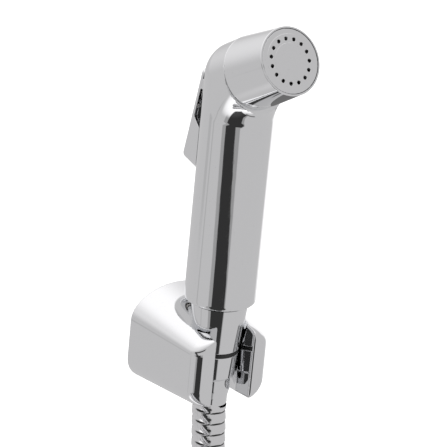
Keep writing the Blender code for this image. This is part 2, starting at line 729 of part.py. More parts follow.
def make_spring(low, high):
    """Helical return spring round the stem, as a poly curve with a round section."""
    per_turn = 10
    curve = bpy.data.curves.new("valve_spring", "CURVE")
    curve.dimensions = "3D"
    curve.bevel_depth = SPRING_WIRE_R
    curve.bevel_resolution = 1
    curve.use_fill_caps = True
    spline = curve.splines.new("POLY")
    count = SPRING_TURNS * per_turn + 1
    spline.points.add(count - 1)
    bottom = low + SPRING_WIRE_R
    top = high - SPRING_WIRE_R
    for i in range(count):
        angle = 2 * math.pi * i / per_turn
        height = bottom + (top - bottom) * i / (count - 1)
        spline.points[i].co = (SPRING_R * math.cos(angle), SPRING_R * math.sin(angle), height, 1.0)
    coil = bpy.data.objects.new("valve_spring", curve)
    coil.matrix_world = stem_frame()
    PARTS.objects.link(coil)
    curve.materials.append(material("valve_spring", *FINISHES["steel"]))


# Waterway

def pipe(name, path, outer, inner, finish, frame, sides=20):
    """A tube with an open bore along a path in the plane x = 0."""
    path = [np.array(p, dtype=float) for p in path]
    sections = []
    for radius, order in ((outer, 1), (inner, -1)):
        for i in range(len(path))[::order]:
            before = path[max(i - 1, 0)]
            after = path[min(i + 1, len(path) - 1)]
            forward = unit(after - before)
            across = np.array([1.0, 0.0, 0.0])
            up = np.cross(forward, across)
            sections.append([path[i] + radius * (math.cos(2 * math.pi * j / sides) * across
                                                 + math.sin(2 * math.pi * j / sides) * up)
                             for j in range(sides)])
    return loft(name, sections, frame, finish, endless=True)


def make_waterway():
    riser_low = 2.9 * MM
    riser_top = STEM_HEIGHT - BLOCK_R - 0.7 * MM
    ring("riser_tube", TUBE_R, TUBE_BORE_R, riser_top, riser_low, axis_frame(), "brass", COARSE)

    turn = math.pi / 2 - HEAD_RISE
    tangent = HEAD_TUBE_BEND * math.tan(turn / 2)
    bottom = BLOCK_TOP - HEAD_SOCKET + GAP
    path = [(0.0, 0.0, bottom), (0.0, 0.0, (bottom + BEND_HEIGHT - tangent) / 2)]
    arc_steps = 8
    for i in range(arc_steps + 1):
        angle = turn * i / arc_steps
        path.append((0.0, HEAD_TUBE_BEND * (1 - math.cos(angle)),
                     BEND_HEIGHT - tangent + HEAD_TUBE_BEND * math.sin(angle)))
    reach = SLEEVE_START + NOSE_LENGTH - 1.0 * MM
    path.append((0.0, reach * math.cos(HEAD_RISE), BEND_HEIGHT + reach * math.sin(HEAD_RISE)))
    pipe("head_tube", path, HEAD_TUBE_R, HEAD_TUBE_BORE_R, "brass", forward_frame())

    flange_r = HANDLE_R - HANDLE_WALL - FIT
    flange_low = 0.6 * MM
    flange_top = 5.2 * MM
    socket_low = riser_low - GAP
    recess = 1.3 * MM
    spigot = [(flange_r, flange_top), (flange_r, flange_low), (THREAD_R, flange_low),
              (THREAD_R, -THREAD_LENGTH), (WASHER_BORE_R + 0.5 * MM, -THREAD_LENGTH),
              (WASHER_BORE_R + 0.5 * MM, recess - THREAD_LENGTH), (TUBE_BORE_R, recess - THREAD_LENGTH),
              (TUBE_BORE_R, socket_low), (TUBE_R + 0.15 * MM, socket_low),
              (TUBE_R + 0.15 * MM, flange_top)]
    turned("inlet_spigot", spigot, axis_frame(), "brass", FINE)
    sieve_top = recess - THREAD_LENGTH - FIT
    sieve = rod("inlet_filter", WASHER_BORE_R + 0.3 * MM, sieve_top, sieve_top - 0.9 * MM,
                axis_frame(), "steel", COARSE)
    holes = bmesh.new()
    for i in range(7):
        reach = 0.0 if i == 0 else 3.2 * MM
        angle = 2 * math.pi * i / 6
        spot = (reach * math.cos(angle), reach * math.sin(angle), sieve_top)
        bmesh.ops.create_cone(holes, cap_ends=True, segments=8, radius1=0.9 * MM,
                              radius2=0.9 * MM, depth=4.0 * MM, matrix=Matrix.Translation(spot))
    mesh = bpy.data.meshes.new("sieve_holes")
    holes.to_mesh(mesh)
    holes.free()
    boolean(sieve, as_cutter(place("sieve_holes", mesh, axis_frame(), home=CUTTERS)))


# Hose end at the handset

def nut_radius(below):
    """Outer radius of the conical nut at a distance below the seam."""
    return NUT_TOP_R - (NUT_TOP_R - NUT_LOW_R) * (below - GAP) / (NUT_BOTTOM - GAP)


def make_hose_end():
    frame = axis_frame()
    thread_r = THREAD_R + 0.15 * MM
    thread_low = -THREAD_LENGTH - GAP
    ledge = thread_low - WASHER_THICK - TAIL_FLANGE - 2 * FIT
    seat_r = TAIL_FLANGE_R + FIT
    edge = 0.3 * MM
    nut = [(NUT_TOP_R - edge, -GAP), (NUT_TOP_R, -GAP - edge),
           (nut_radius(NUT_BOTTOM - edge), edge - NUT_BOTTOM), (NUT_LOW_R - edge, -NUT_BOTTOM),
           (TAIL_R + FIT, -NUT_BOTTOM), (TAIL_R + FIT, ledge), (seat_r, ledge),
           (seat_r, thread_low), (thread_r, thread_low), (thread_r, -GAP)]
    turned("cone_nut", nut, frame, "chrome", FINE)
    washer_top = thread_low
    ring("hose_washer", TAIL_FLANGE_R, WASHER_BORE_R, washer_top, washer_top - WASHER_THICK,
         frame, "rubber")
    flange_top = washer_top - WASHER_THICK - FIT
    flange_low = ledge + FIT
    barb_top = -CONE_BOTTOM
    tail = [(TAIL_FLANGE_R, flange_top), (TAIL_FLANGE_R, flange_low), (TAIL_R, flange_low),
            (TAIL_R, barb_top)]
    for i in range(BARB_COUNT):
        top = barb_top - i * BARB_PITCH
        tail += [(BARB_R, top), (BARB_R - BARB_TOOTH, top - BARB_PITCH + 0.01 * MM)]
    tail += [(TAIL_BORE_R, barb_top - BARB_COUNT * BARB_PITCH), (TAIL_BORE_R, flange_top)]
    turned("hose_tail", tail, frame, "brass", MEDIUM)
    ring("swivel_ring", CONE_TOP_R + 0.05 * MM, TAIL_R + FIT, -NUT_BOTTOM - FIT,
         -RING_BOTTOM, frame, "black_plastic", FINE)
    bore = TAIL_R + 0.15 * MM
    cone = [(CONE_TOP_R, -RING_BOTTOM - FIT), (CONE_LOW_R, CONE_CHAMFER - CONE_BOTTOM),
            (CONE_LOW_R - CONE_CHAMFER, -CONE_BOTTOM), (bore, -CONE_BOTTOM),
            (bore, -RING_BOTTOM - FIT)]
    turned("swivel_cone", cone, frame, "chrome", FINE)
    ferrule("hose_ferrule", -CONE_BOTTOM - FIT, -FERRULE_BOTTOM, frame)


def ferrule(name, top, bottom, frame):
    """Crimped neck: a rounded shoulder narrowing to a plain band."""
    bore = BARB_R + 0.3 * MM
    length = top - bottom
    profile = [(FERRULE_TOP_R - 0.4 * MM, top), (FERRULE_TOP_R, top - 0.5 * MM),
               (FERRULE_TOP_R, top - 0.45 * length), (FERRULE_LOW_R, top - 0.72 * length),
               (FERRULE_LOW_R, bottom), (bore, bottom), (bore, top)]
    turned(name, profile, frame, "chrome", MEDIUM)


# Hose, coil and far end

def smooth_route(points, spacing):
    """Even points on a smooth curve through a route's own points (Catmull-Rom)."""
    padded = [2 * points[0] - points[1]] + points + [2 * points[-1] - points[-2]]
    fine = []
    for i in range(1, len(padded) - 2):
        p0, p1, p2, p3 = padded[i - 1:i + 3]
        for step in range(24):
            t = step / 24
            fine.append(0.5 * (2 * p1 + (p2 - p0) * t + (2 * p0 - 5 * p1 + 4 * p2 - p3) * t ** 2
                               + (3 * p1 - p0 - 3 * p2 + p3) * t ** 3))
    fine.append(points[-1])
    fine = np.array(fine)
    run = np.concatenate([[0.0], np.cumsum(np.linalg.norm(np.diff(fine, axis=0), axis=1))])
    count = max(int(round(run[-1] / spacing)), 1) + 1
    at = np.linspace(0.0, run[-1], count)
    return [np.array([np.interp(s, run, fine[:, k]) for k in range(3)]) for s in at]


def hose_run(name, points):
    """A plain tube of the hose's diameter along a route, whose first step is straight."""
    curve = bpy.data.curves.new(name, "CURVE")
    curve.dimensions = "3D"
    curve.bevel_depth = HOSE_R
    curve.bevel_resolution = 4
    curve.use_fill_caps = True
    route = points[:1] + smooth_route(points[1:], 2 * 2 * HOSE_R)
    spline = curve.splines.new("POLY")
    spline.points.add(len(route) - 1)
    for target, point in zip(spline.points, route):
        target.co = (*point, 1.0)
    obj = bpy.data.objects.new(name, curve)
    PARTS.objects.link(obj)
    curve.materials.append(material(name, *FINISHES["chrome"]))


def coil_section(turn):
    """Outline across the coil at a share of a turn from where the hose enters it."""
    whole = int(COIL_TURNS)
    rows = whole + 1 if turn <= COIL_TURNS - whole else whole
    back = HOSE_R - turn * COIL_PITCH
    front = -HOSE_R - (turn + rows - 1) * COIL_PITCH
    angle = -2 * math.pi * turn
    outward = np.array([math.cos(angle), 0.0, math.sin(angle)])
    centre = np.array(coil_centre())
    round_steps = 3
    points = []
    for y, side in ((back - HOSE_R, 1), (front + HOSE_R, -1)):
        for i in range(round_steps + 1):
            bulge = side * math.pi * (i / round_steps - 0.5)
            reach = COIL_R + HOSE_R * math.sin(bulge)
            depth = y + side * HOSE_R * math.cos(bulge)
            points.append(centre + reach * outward + np.array([0.0, depth, 0.0]))
    return points


def make_hose():
    top = SEAM_Z - FERRULE_BOTTOM - GAP
    enter = SEAM_Z - COIL_DROP + GAP
    sway = ((0.0, 0.0), (0.03, 0.0), (0.28, 0.8), (0.5, 1.0), (1.0, 1.0))
    hose_run("hose", [np.array([HOSE_SWAY * aside, -AXIS_OUT, top + (enter - top) * along])
                      for along, aside in sway])

    share = COIL_TURNS - int(COIL_TURNS)
    step = 0.0005
    stations = [i * share / 10 for i in range(11)]
    stations += [share + step + (1 - share - 2 * step) * i / 30 for i in range(31)]
    loft("hose_coil", [coil_section(s) for s in stations], Matrix(), "chrome", endless=True)

    start = supply_frame() @ Vector((0.0, 0.0, GAP))
    end = supply_frame() @ Vector((0.0, 0.0, END_RUN))
    middle_point = (start + end) / 2
    hose_run("hose_end", [np.array(p) for p in (start, middle_point, end)])
    make_tie()
    make_supply_end()


def make_tie():
    """A flat strap round the two turns at the far side of the coil."""
    turn = 0.5
    half_depth = HOSE_R + COIL_PITCH / 2 + GAP + 0.3 * MM
    half_thick = HOSE_R + GAP + 0.2 * MM
    middle = coil_centre() + Vector((-COIL_R, -(turn + 0.5) * COIL_PITCH, 0.0))
    low = (-half_thick - TIE_THICK, -half_depth - TIE_THICK, -TIE_WIDTH / 2)
    high = tuple(-v for v in low)
    mesh = box_mesh("coil_tie", low, high)
    tie = place("coil_tie", mesh, Matrix.Translation(middle), "black_plastic")
    tie_bevel = tie.modifiers.new("round", "BEVEL")
    tie_bevel.width = 0.5 * MM
    tie_bevel.segments = 2
    inner_low = (-half_thick, -half_depth, -TIE_WIDTH)
    inner_high = tuple(-v for v in inner_low)
    boolean(tie, box_cutter("tie_hole", inner_low, inner_high, Matrix.Translation(middle)))


def make_supply_end():
    start = END_RUN + GAP
    stop = start + SUPPLY_FERRULE
    # This end's frame runs away from the hose, so the ferrule is turned end for end
    ferrule("supply_ferrule", -start, -stop, supply_frame() @ Matrix.Rotation(math.pi, 4, "X"))
    nut_start = stop + SUPPLY_TAIL
    nut_end = nut_start + SUPPLY_LENGTH
    flange_low = nut_start + SUPPLY_FLOOR + FIT
    flange_top = flange_low + SUPPLY_FLANGE
    shank = FERRULE_LOW_R - 0.6 * MM
    tail = [(TAIL_FLANGE_R, flange_top), (TAIL_FLANGE_R, flange_low), (shank, flange_low),
            (shank, stop + FIT), (BARB_R, stop + FIT), (BARB_R - BARB_TOOTH, start + 1.0 * MM),
            (TAIL_BORE_R, start + 1.0 * MM), (TAIL_BORE_R, flange_top)]
    turned("supply_tail", tail, supply_frame(), "brass", COARSE)
    ring("supply_washer", TAIL_FLANGE_R, WASHER_BORE_R, flange_top + FIT + WASHER_THICK,
         flange_top + FIT, supply_frame(), "rubber", COARSE)
    corner_r = SUPPLY_AF / math.sqrt(3)
    nut = rod("supply_nut", corner_r, nut_end, nut_start, supply_frame(), "chrome", 6)
    clear = 0.2 * MM
    outline = [(0.0, nut_end + clear), (SUPPLY_AF / 2, nut_end + clear),
               (corner_r + clear, nut_end - SUPPLY_CHAMFER), (corner_r + clear, nut_start + SUPPLY_CHAMFER),
               (SUPPLY_AF / 2, nut_start - clear), (0.0, nut_start - clear)]
    chamfer = turned("nut_chamfer", outline, supply_frame(), steps=MEDIUM, closed=False, home=CUTTERS)
    boolean(nut, as_cutter(chamfer), "INTERSECT")
    boolean(nut, rod_cutter("nut_thread", THREAD_R - 0.4 * MM, nut_end + 1.0 * MM,
                            nut_start + SUPPLY_FLOOR, supply_frame(), MEDIUM))
    boolean(nut, rod_cutter("nut_hole", shank + FIT, nut_end, nut_start - 1.0 * MM,
                            supply_frame(), MEDIUM))


# Holder

def corner_inset(radius, out):
    """How far a rounded front edge of that radius lies inside the square one."""
    past = min(max(out - (HOLDER_DEPTH - radius), 0.0), radius)
    return radius - math.sqrt(radius * radius - past * past)


def holder_section(out):
    """Closed outline of the holder at a distance from the wall: flat bottom with rounded
    corners, drafted sides and an elliptical arch, pulled in where the front is rounded."""
    share = out / HOLDER_DEPTH
    inset = corner_inset(FRONT_EDGE_R, out)
    half = BACK_HALF_W + (FRONT_HALF_W - BACK_HALF_W) * share - corner_inset(FRONT_SIDE_R, out)
    bottom = -BACK_HALF_H + (FRONT_BOTTOM + BACK_HALF_H) * share + inset
    crown = BACK_HALF_H + (FRONT_TOP - BACK_HALF_H) * share - inset
    radius = max(BOTTOM_R - inset, 1.0 * MM)
    points = []
    corner_steps = 5
    for i in range(corner_steps + 1):
        angle = math.pi / 2 * i / corner_steps
        points.append((half - radius + radius * math.sin(angle), -out,
                       bottom + radius * (1 - math.cos(angle))))
    arch_steps = 20
    for i in range(arch_steps + 1):
        angle = math.pi * i / arch_steps
        points.append((half * math.cos(angle), -out,
                       SIDE_TOP + (crown - SIDE_TOP) * math.sin(angle)))
    for i in range(corner_steps, -1, -1):
        angle = math.pi / 2 * i / corner_steps
        points.append((-half + radius - radius * math.sin(angle), -out,
                       bottom + radius * (1 - math.cos(angle))))
    return points


def seat_radius(height):
    """Radius of the holder's conical bore: the nut's, with a gap all round."""
    return nut_radius(SEAM_Z - height) + GAP


def make_holder():
    straight = 4
    stations = [i * (HOLDER_DEPTH - FRONT_SIDE_R) / straight for i in range(straight + 1)]
    round_steps = 9
    for i in range(1, round_steps + 1):
        stations.append(HOLDER_DEPTH - FRONT_SIDE_R * (1 - math.sin(math.pi / 2 * i / round_steps)))
    holder = loft("wall_holder", [holder_section(out) for out in stations], Matrix(), "chrome",
                  angle=30.0)
    spot = Matrix.Translation((0.0, -AXIS_OUT, 0.0))
    nut_end = SEAM_Z - NUT_BOTTOM
    below = FRONT_BOTTOM - 8.0 * MM

    high = FUNNEL_TOP + 1.0 * MM
    bore = turned("socket_bore", [(0.0, high), (seat_radius(high) + 2 * GAP, high),
                                  (seat_radius(SEAT_TOP), SEAT_TOP), (seat_radius(nut_end), nut_end),
                                  (BORE_LOW_R, nut_end - 1.0 * MM), (BORE_LOW_R, below),
                                  (0.0, below)], spot, steps=FINE, closed=False, home=CUTTERS)
    boolean(holder, as_cutter(bore))
    boolean(holder, funnel_cutter(spot))
    boolean(holder, slot_cutter(spot, below))
    for side in (-1, 1):
        boolean(holder, back_pocket(side))
    for height in (SCREW_SPACING / 2 - 4.0 * MM, -SCREW_SPACING / 2 - 4.0 * MM):
        name = "screw_high" if height > 0 else "screw_low"
        line = Matrix.Translation((0.0, 0.0, height)) @ Matrix.Rotation(math.pi / 2, 4, "X")
        boolean(holder, rod_cutter(name, SCREW_R, AXIS_OUT, -1.0 * MM, line, 16))
        boolean(holder, rod_cutter(name + "_head", SCREW_HEAD_R, AXIS_OUT,
                                   AXIS_OUT - BORE_LOW_R - 6.0 * MM, line, COARSE))


def funnel_cutter(spot):
    """Slanted funnel from the seat's mouth to a larger, squarer ring behind and above it."""
    rings = []
    for radius, power, back, height in ((seat_radius(SEAT_TOP) - GAP, 2.0, 0.0, SEAT_TOP),
                                        (FUNNEL_R, FUNNEL_POWER, FUNNEL_BACK, FUNNEL_TOP)):
        outline = []
        for j in range(FINE):
            angle = 2 * math.pi * (j + 0.5) / FINE
            x, y = math.cos(angle), math.sin(angle)
            reach = radius / (abs(x) ** power + abs(y) ** power) ** (1.0 / power)
            outline.append((reach * x, back + reach * y, height))
        rings.append(outline)
    return as_cutter(loft("funnel", rings, spot, home=CUTTERS))


def slot_cutter(spot, below):
    """Front slot, flared at the front face so that its edges are rounded."""
    front = -(HOLDER_DEPTH - AXIS_OUT)
    top = BACK_HALF_H + 2.0 * MM
    steps = 4
    side = [(SLOT_HALF_W, 0.0)]
    for i in range(steps + 1):
        angle = math.pi / 2 * i / steps
        side.append((SLOT_HALF_W + SLOT_EDGE_R * (1 - math.cos(angle)),
                     front + SLOT_EDGE_R * (1 - math.sin(angle))))
    side.append((SLOT_HALF_W + SLOT_EDGE_R, front - 1.0 * MM))
    outline = side + [(-x, y) for x, y in reversed(side)]
    sections = [[(x, y, z) for x, y in outline] for z in (below, top)]
    return as_cutter(loft("slot", sections, spot, home=CUTTERS))


def back_pocket(side):
    """Moulding pocket beside the centre web, open at the back."""
    depth = AXIS_OUT - BORE_LOW_R - MOULD_WALL - 2.2 * MM
    name = "pocket_right" if side > 0 else "pocket_left"
    rings = []
    for out in (-1.0 * MM, depth):
        half = BACK_HALF_W - MOULD_WALL - (BACK_HALF_W - FRONT_HALF_W) * max(out, 0) / HOLDER_DEPTH
        low = -BACK_HALF_H + MOULD_WALL + 3.5 * MM
        shoulder = SIDE_TOP
        outline = [(WEB_HALF_W, low), (half - 4.0 * MM, low), (half, low + 4.0 * MM),
                   (half, shoulder), (half - 3.5 * MM, shoulder + 5.0 * MM),
                   (WEB_HALF_W, shoulder + 5.0 * MM)]
        rings.append([(side * x, -out, z) for x, z in outline])
    return as_cutter(loft(name, rings, Matrix(), home=CUTTERS))


make_holder()
make_handset_body()
make_head()
make_lever()
make_valve()
make_waterway()
make_hose_end()
make_hose()
bpy.context.view_layer.update()
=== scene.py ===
# %% [markdown]
# # A chromed bidet shower in its wall holder
#
# The real object is a trigger handset, the forked holder that carries it, and its metal hose.
# Nearly all of it is bright chrome, so the shapes are read from what they reflect.
# Faceted solids would break those reflections.  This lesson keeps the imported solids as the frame
# and lays smooth surfaces, worked out with numpy, exactly over them.

# %% Tools and frame
import math

import bmesh
import bpy
import numpy as np
from mathutils import Matrix, Vector


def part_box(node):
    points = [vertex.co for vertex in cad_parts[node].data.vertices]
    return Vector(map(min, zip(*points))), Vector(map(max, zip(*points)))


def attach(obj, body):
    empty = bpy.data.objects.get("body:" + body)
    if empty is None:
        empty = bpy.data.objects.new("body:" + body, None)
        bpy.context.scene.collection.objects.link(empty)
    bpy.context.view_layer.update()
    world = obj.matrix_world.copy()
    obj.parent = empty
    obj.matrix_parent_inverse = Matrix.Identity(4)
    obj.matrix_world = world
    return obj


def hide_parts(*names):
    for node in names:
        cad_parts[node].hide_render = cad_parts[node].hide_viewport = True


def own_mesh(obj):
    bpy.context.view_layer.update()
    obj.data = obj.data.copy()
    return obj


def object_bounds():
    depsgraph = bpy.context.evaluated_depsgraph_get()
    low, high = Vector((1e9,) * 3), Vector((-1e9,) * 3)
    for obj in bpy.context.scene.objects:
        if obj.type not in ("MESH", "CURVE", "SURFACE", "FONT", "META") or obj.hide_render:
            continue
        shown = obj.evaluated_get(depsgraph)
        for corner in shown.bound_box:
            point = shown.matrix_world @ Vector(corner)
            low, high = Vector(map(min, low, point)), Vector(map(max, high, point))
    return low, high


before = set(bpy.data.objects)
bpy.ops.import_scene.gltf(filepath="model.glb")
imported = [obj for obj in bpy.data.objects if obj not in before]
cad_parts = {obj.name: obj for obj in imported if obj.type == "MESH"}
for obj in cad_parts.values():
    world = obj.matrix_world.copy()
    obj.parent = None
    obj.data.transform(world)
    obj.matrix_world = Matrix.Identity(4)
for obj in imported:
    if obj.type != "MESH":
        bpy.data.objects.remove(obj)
solid_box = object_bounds()
MM = 0.001

# %% [markdown]
# ## Places and sizes
#
# The handset stands upright, so one vertical axis carries the handle, the nut and the swivel cone.
# Heights on the handset are counted from its seam, where the handle's foot meets the nut.
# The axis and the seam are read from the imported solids; the other sizes repeat the solids' own.

# %% Axis, seam and the sizes of the handset
nut_low, nut_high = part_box("cone_nut")
GAP = 0.3 * MM
AXIS_Y = (nut_low.y + nut_high.y) / 2
SEAM_Z = nut_high.z + GAP

HANDLE_R = 15.0 * MM
HANDLE_WALL = 2.4 * MM
FOOT_R = 13.8 * MM
FOOT_LIP = 3.0 * MM
HEAD_RISE = math.radians(29.0)
BEND_HEIGHT = 97.7 * MM
SLEEVE_START = 10.6 * MM
FACE_AT = 35.4 * MM
BARREL_R = 15.4 * MM
FACE_R = 14.1 * MM
NOSE_R = 12.6 * MM
NOSE_END = SLEEVE_START + 6.9 * MM
NOSE_BORE_R = 10.6 * MM
CROOK_FILLET = 7.0 * MM

PIVOT_HEIGHT = BEND_HEIGHT - 7.4 * MM
PIVOT_BACK = 11.2 * MM
STEM_HEIGHT = PIVOT_HEIGHT - 12.8 * MM
LEVER_TILT = math.radians(12.0)
LEVER_HALF_W = 8.9 * MM
PIN_R = 1.1 * MM

NUT_TOP_R = 12.2 * MM
NUT_LOW_R = 10.1 * MM
NUT_END = -21.5 * MM
print(f"handle axis at y = {AXIS_Y * 1000:.1f} mm, seam at z = {SEAM_Z * 1000:.1f} mm")

# %% [markdown]
# ## Camera
#
# The photograph looks from the front left and from above, with a long lens, and the whole
# fitting leans a little clockwise in it.  The lean is the camera's roll, because the fitting
# itself stands upright on its wall.

# %% Camera at the photograph's angle
VIEW_AZIMUTH = math.radians(37.0)
VIEW_RISE = math.radians(21.37)
VIEW_ROLL = math.radians(5.557)
VIEW_DISTANCE = 1.272
VIEW_CENTRE = Vector((0.0, -26.5 * MM, 70.2 * MM))
FRAME_PIXELS = 447
PIXELS_PER_METRE = 2429.0
CENTRE_PIXEL = (223.73, 194.71)
SENSOR_WIDTH = 36.0


def look_through_camera():
    """Right, up and back vectors come from azimuth and rise, and the roll turns the first two."""
    level = Vector((math.cos(VIEW_AZIMUTH), -math.sin(VIEW_AZIMUTH), 0.0))
    back = Vector((-math.sin(VIEW_AZIMUTH) * math.cos(VIEW_RISE),
                   -math.cos(VIEW_AZIMUTH) * math.cos(VIEW_RISE), math.sin(VIEW_RISE)))
    upward = back.cross(level)
    right = level * math.cos(VIEW_ROLL) + upward * math.sin(VIEW_ROLL)
    up = upward * math.cos(VIEW_ROLL) - level * math.sin(VIEW_ROLL)
    camera = bpy.data.objects.new("camera", bpy.data.cameras.new("camera"))
    bpy.context.scene.collection.objects.link(camera)
    turn = Matrix((right, up, back)).transposed().to_4x4()
    camera.matrix_world = Matrix.Translation(VIEW_CENTRE + back * VIEW_DISTANCE) @ turn
    lens = camera.data
    lens.sensor_width = SENSOR_WIDTH
    lens.lens = SENSOR_WIDTH * PIXELS_PER_METRE * VIEW_DISTANCE / FRAME_PIXELS
    lens.shift_x = (FRAME_PIXELS / 2 - CENTRE_PIXEL[0]) / FRAME_PIXELS
    lens.shift_y = (CENTRE_PIXEL[1] - FRAME_PIXELS / 2) / FRAME_PIXELS
    lens.clip_start = 0.05
    bpy.context.scene.camera = camera
    return camera


camera = look_through_camera()
print(f"lens {camera.data.lens:.0f} mm, shift {camera.data.shift_y:.3f}")

# %% [markdown]
# ## Node helpers
#
# Materials are built from nodes.  One small helper makes a node and fills in its values, so that
# each material reads as a short list of what it is made of.

# %% Making and joining nodes


def add_node(tree, kind, values=None, **settings):
    """A new node with its settings and its input values."""
    made = tree.nodes.new(kind)
    for name, value in settings.items():
        setattr(made, name, value)
    for name, value in (values or {}).items():
        made.inputs[name].default_value = value
    return made


def number(tree, operation, first, second=0.0, third=None):
    """A Math node; a socket is linked and a plain number is set."""
    made = add_node(tree, "ShaderNodeMath", operation=operation)
    for slot, value in enumerate((first, second, third)):
        if value is None:
            continue
        if isinstance(value, (int, float)):
            made.inputs[slot].default_value = value
        else:
            tree.links.new(value, made.inputs[slot])
    return made.outputs[0]


def product(tree, first, *others):
    """All the values multiplied, as a chain of Math nodes."""
    for other in others:
        first = number(tree, "MULTIPLY", first, other)
    return first


def total(tree, first, *others):
    """All the values added, as a chain of Math nodes."""
    for other in others:
        first = number(tree, "ADD", first, other)
    return first


def ease(tree, value, low, high, start=0.0, end=1.0):
    """A smooth step from start to end as the value goes from low to high."""
    made = add_node(tree, "ShaderNodeMapRange",
                    {"From Min": low, "From Max": high, "To Min": start, "To Max": end},
                    interpolation_type="SMOOTHSTEP")
    tree.links.new(value, made.inputs["Value"])
    return made.outputs[0]


def new_group(name, inputs, outputs):
    """An empty node group with named sockets: {name: (type, default)} and {name: type}."""
    group = bpy.data.node_groups.new(name, "ShaderNodeTree")
    for label, (kind, default) in inputs.items():
        made = group.interface.new_socket(label, in_out="INPUT", socket_type=kind)
        made.default_value = default
    for label, kind in outputs.items():
        group.interface.new_socket(label, in_out="OUTPUT", socket_type=kind)
    return group, add_node(group, "NodeGroupInput"), add_node(group, "NodeGroupOutput")


print("node helpers: add_node, number, product, total, ease and new_group")

# %% [markdown]
# ## Studio
#
# Chrome has no colour of its own, so the studio is half of its look.  A plain light-grey room
# gives the even grey, a brighter back and ceiling give the white upper faces, and one dark gap
# below the lens gives the dark stripe down the handle.  The camera itself sees white.

# %% Lights and dark places of the room
# All angles are in degrees.  A bearing counts to the right of the lens, a rise from the horizon.
LENS_SIDE = math.degrees(math.atan2(-math.cos(VIEW_AZIMUTH), -math.sin(VIEW_AZIMUTH)))
ROOM_GREY = 0.61
ROOM_TINT = (1.0, 0.99, 0.995, 1.0)
WHITE = (1.0, 1.0, 1.0, 1.0)

# ceiling: where its light stands, how far it leans over, and steps of (from, to, light added)
CEILING_BEARING = -125.0
CEILING_LEAN = 32.0
CEILING_STEPS = ((-12.0, 14.0, 0.28), (14.0, 52.0, 0.36))
# card: bearing, rise, angle from its centre where it starts and where it is full, light added
CARD = (-50.0, -65.0, 27.0, 9.0, 0.68)
# table: full below the first rise, gone at the second, light added
TABLE = (-82.0, -72.5, 0.62)

# windows: bearing, half width, soft edge, rise from, rise to, soft edge
BACK_LIGHT = (166.0, 12.0, 14.0, -21.0, 4.0, 6.0)
BACK_LIGHT_GAIN = 0.5
BACK_GAP = (176.0, 8.0, 6.0, -64.0, -28.0, 6.0)
THIN_LINE = (-77.0, 0.8, 2.0, -34.0, 0.0, 8.0)
BORDER = (-92.0, 4.0, 3.0, -21.0, -17.5, 2.0)

# gap: its left edge, right edge and half-dark rim, and how they shift as the rise falls from the
# second value to the first; it leans to the right going down, then back under the lens
GAP_DARK = 0.038
GAP_EDGES = (-34.0, -4.0, 15.0)
GAP_BENDS = ((-23.6, -19.6, 10.0, 20.0, -12.0), (-29.5, -25.0, -8.0, 5.0, 0.0),
             (-41.0, -36.0, 0.0, -9.0, 6.0), (-72.0, -58.0, 14.0, 14.0, 0.0))
# where its ends and sides start and stop fading, and the half shadow at its left
GAP_TOP = (-10.0, -7.5)
GAP_BOTTOM = (-72.0, -69.5)
GAP_LEFT_SOFT = (-1.5, 1.0)
GAP_RIGHT_SOFT = (-1.0, 1.5)
RIM_LEFT_SOFT = (-1.0, 1.0)
PENUMBRA_SOFT = (-12.5, -10.0)
PENUMBRA_RISE = (-40.0, -12.0, 8.0)

# slanted bands, two for each dark thing: share of bearing, share of rise, offset, from, to, soft
BAR = ((0.77, 0.64, 25.41, -4.5, 4.5, 3.0), (0.64, -0.77, 21.12, -17.0, 18.0, 5.0))
LENS = ((-0.238, 0.971, -22.3, -4.5, 4.5, 3.0), (1.0, 0.0, 0.0, -47.0, 5.0, 4.0))
SLIT = ((-0.11, 1.0, 74.2, -1.1, 1.1, 1.3), (1.0, 0.0, 0.0, 22.0, 75.0, 5.0))

# share of the light that each dark place takes
TAKEN = {"penumbra": 0.36, "rim": 0.40, "core": 0.90, "thin line": 0.20, "border": 0.15,
         "back gap": 0.72, "bar": 0.85, "lens": 0.85, "slit": 0.70}
print("dark places in the room:", len(TAKEN))

# %% [markdown]
# ## The room
#
# The real chrome mirrors pale walls, with dark places beside and below the lens.  An image of
# such a room could light the scene, but each dark place has to be where the chrome of this shape
# shows it.  So the room is a formula of direction, and each dark place is one mask.

# %% The room that the chrome mirrors


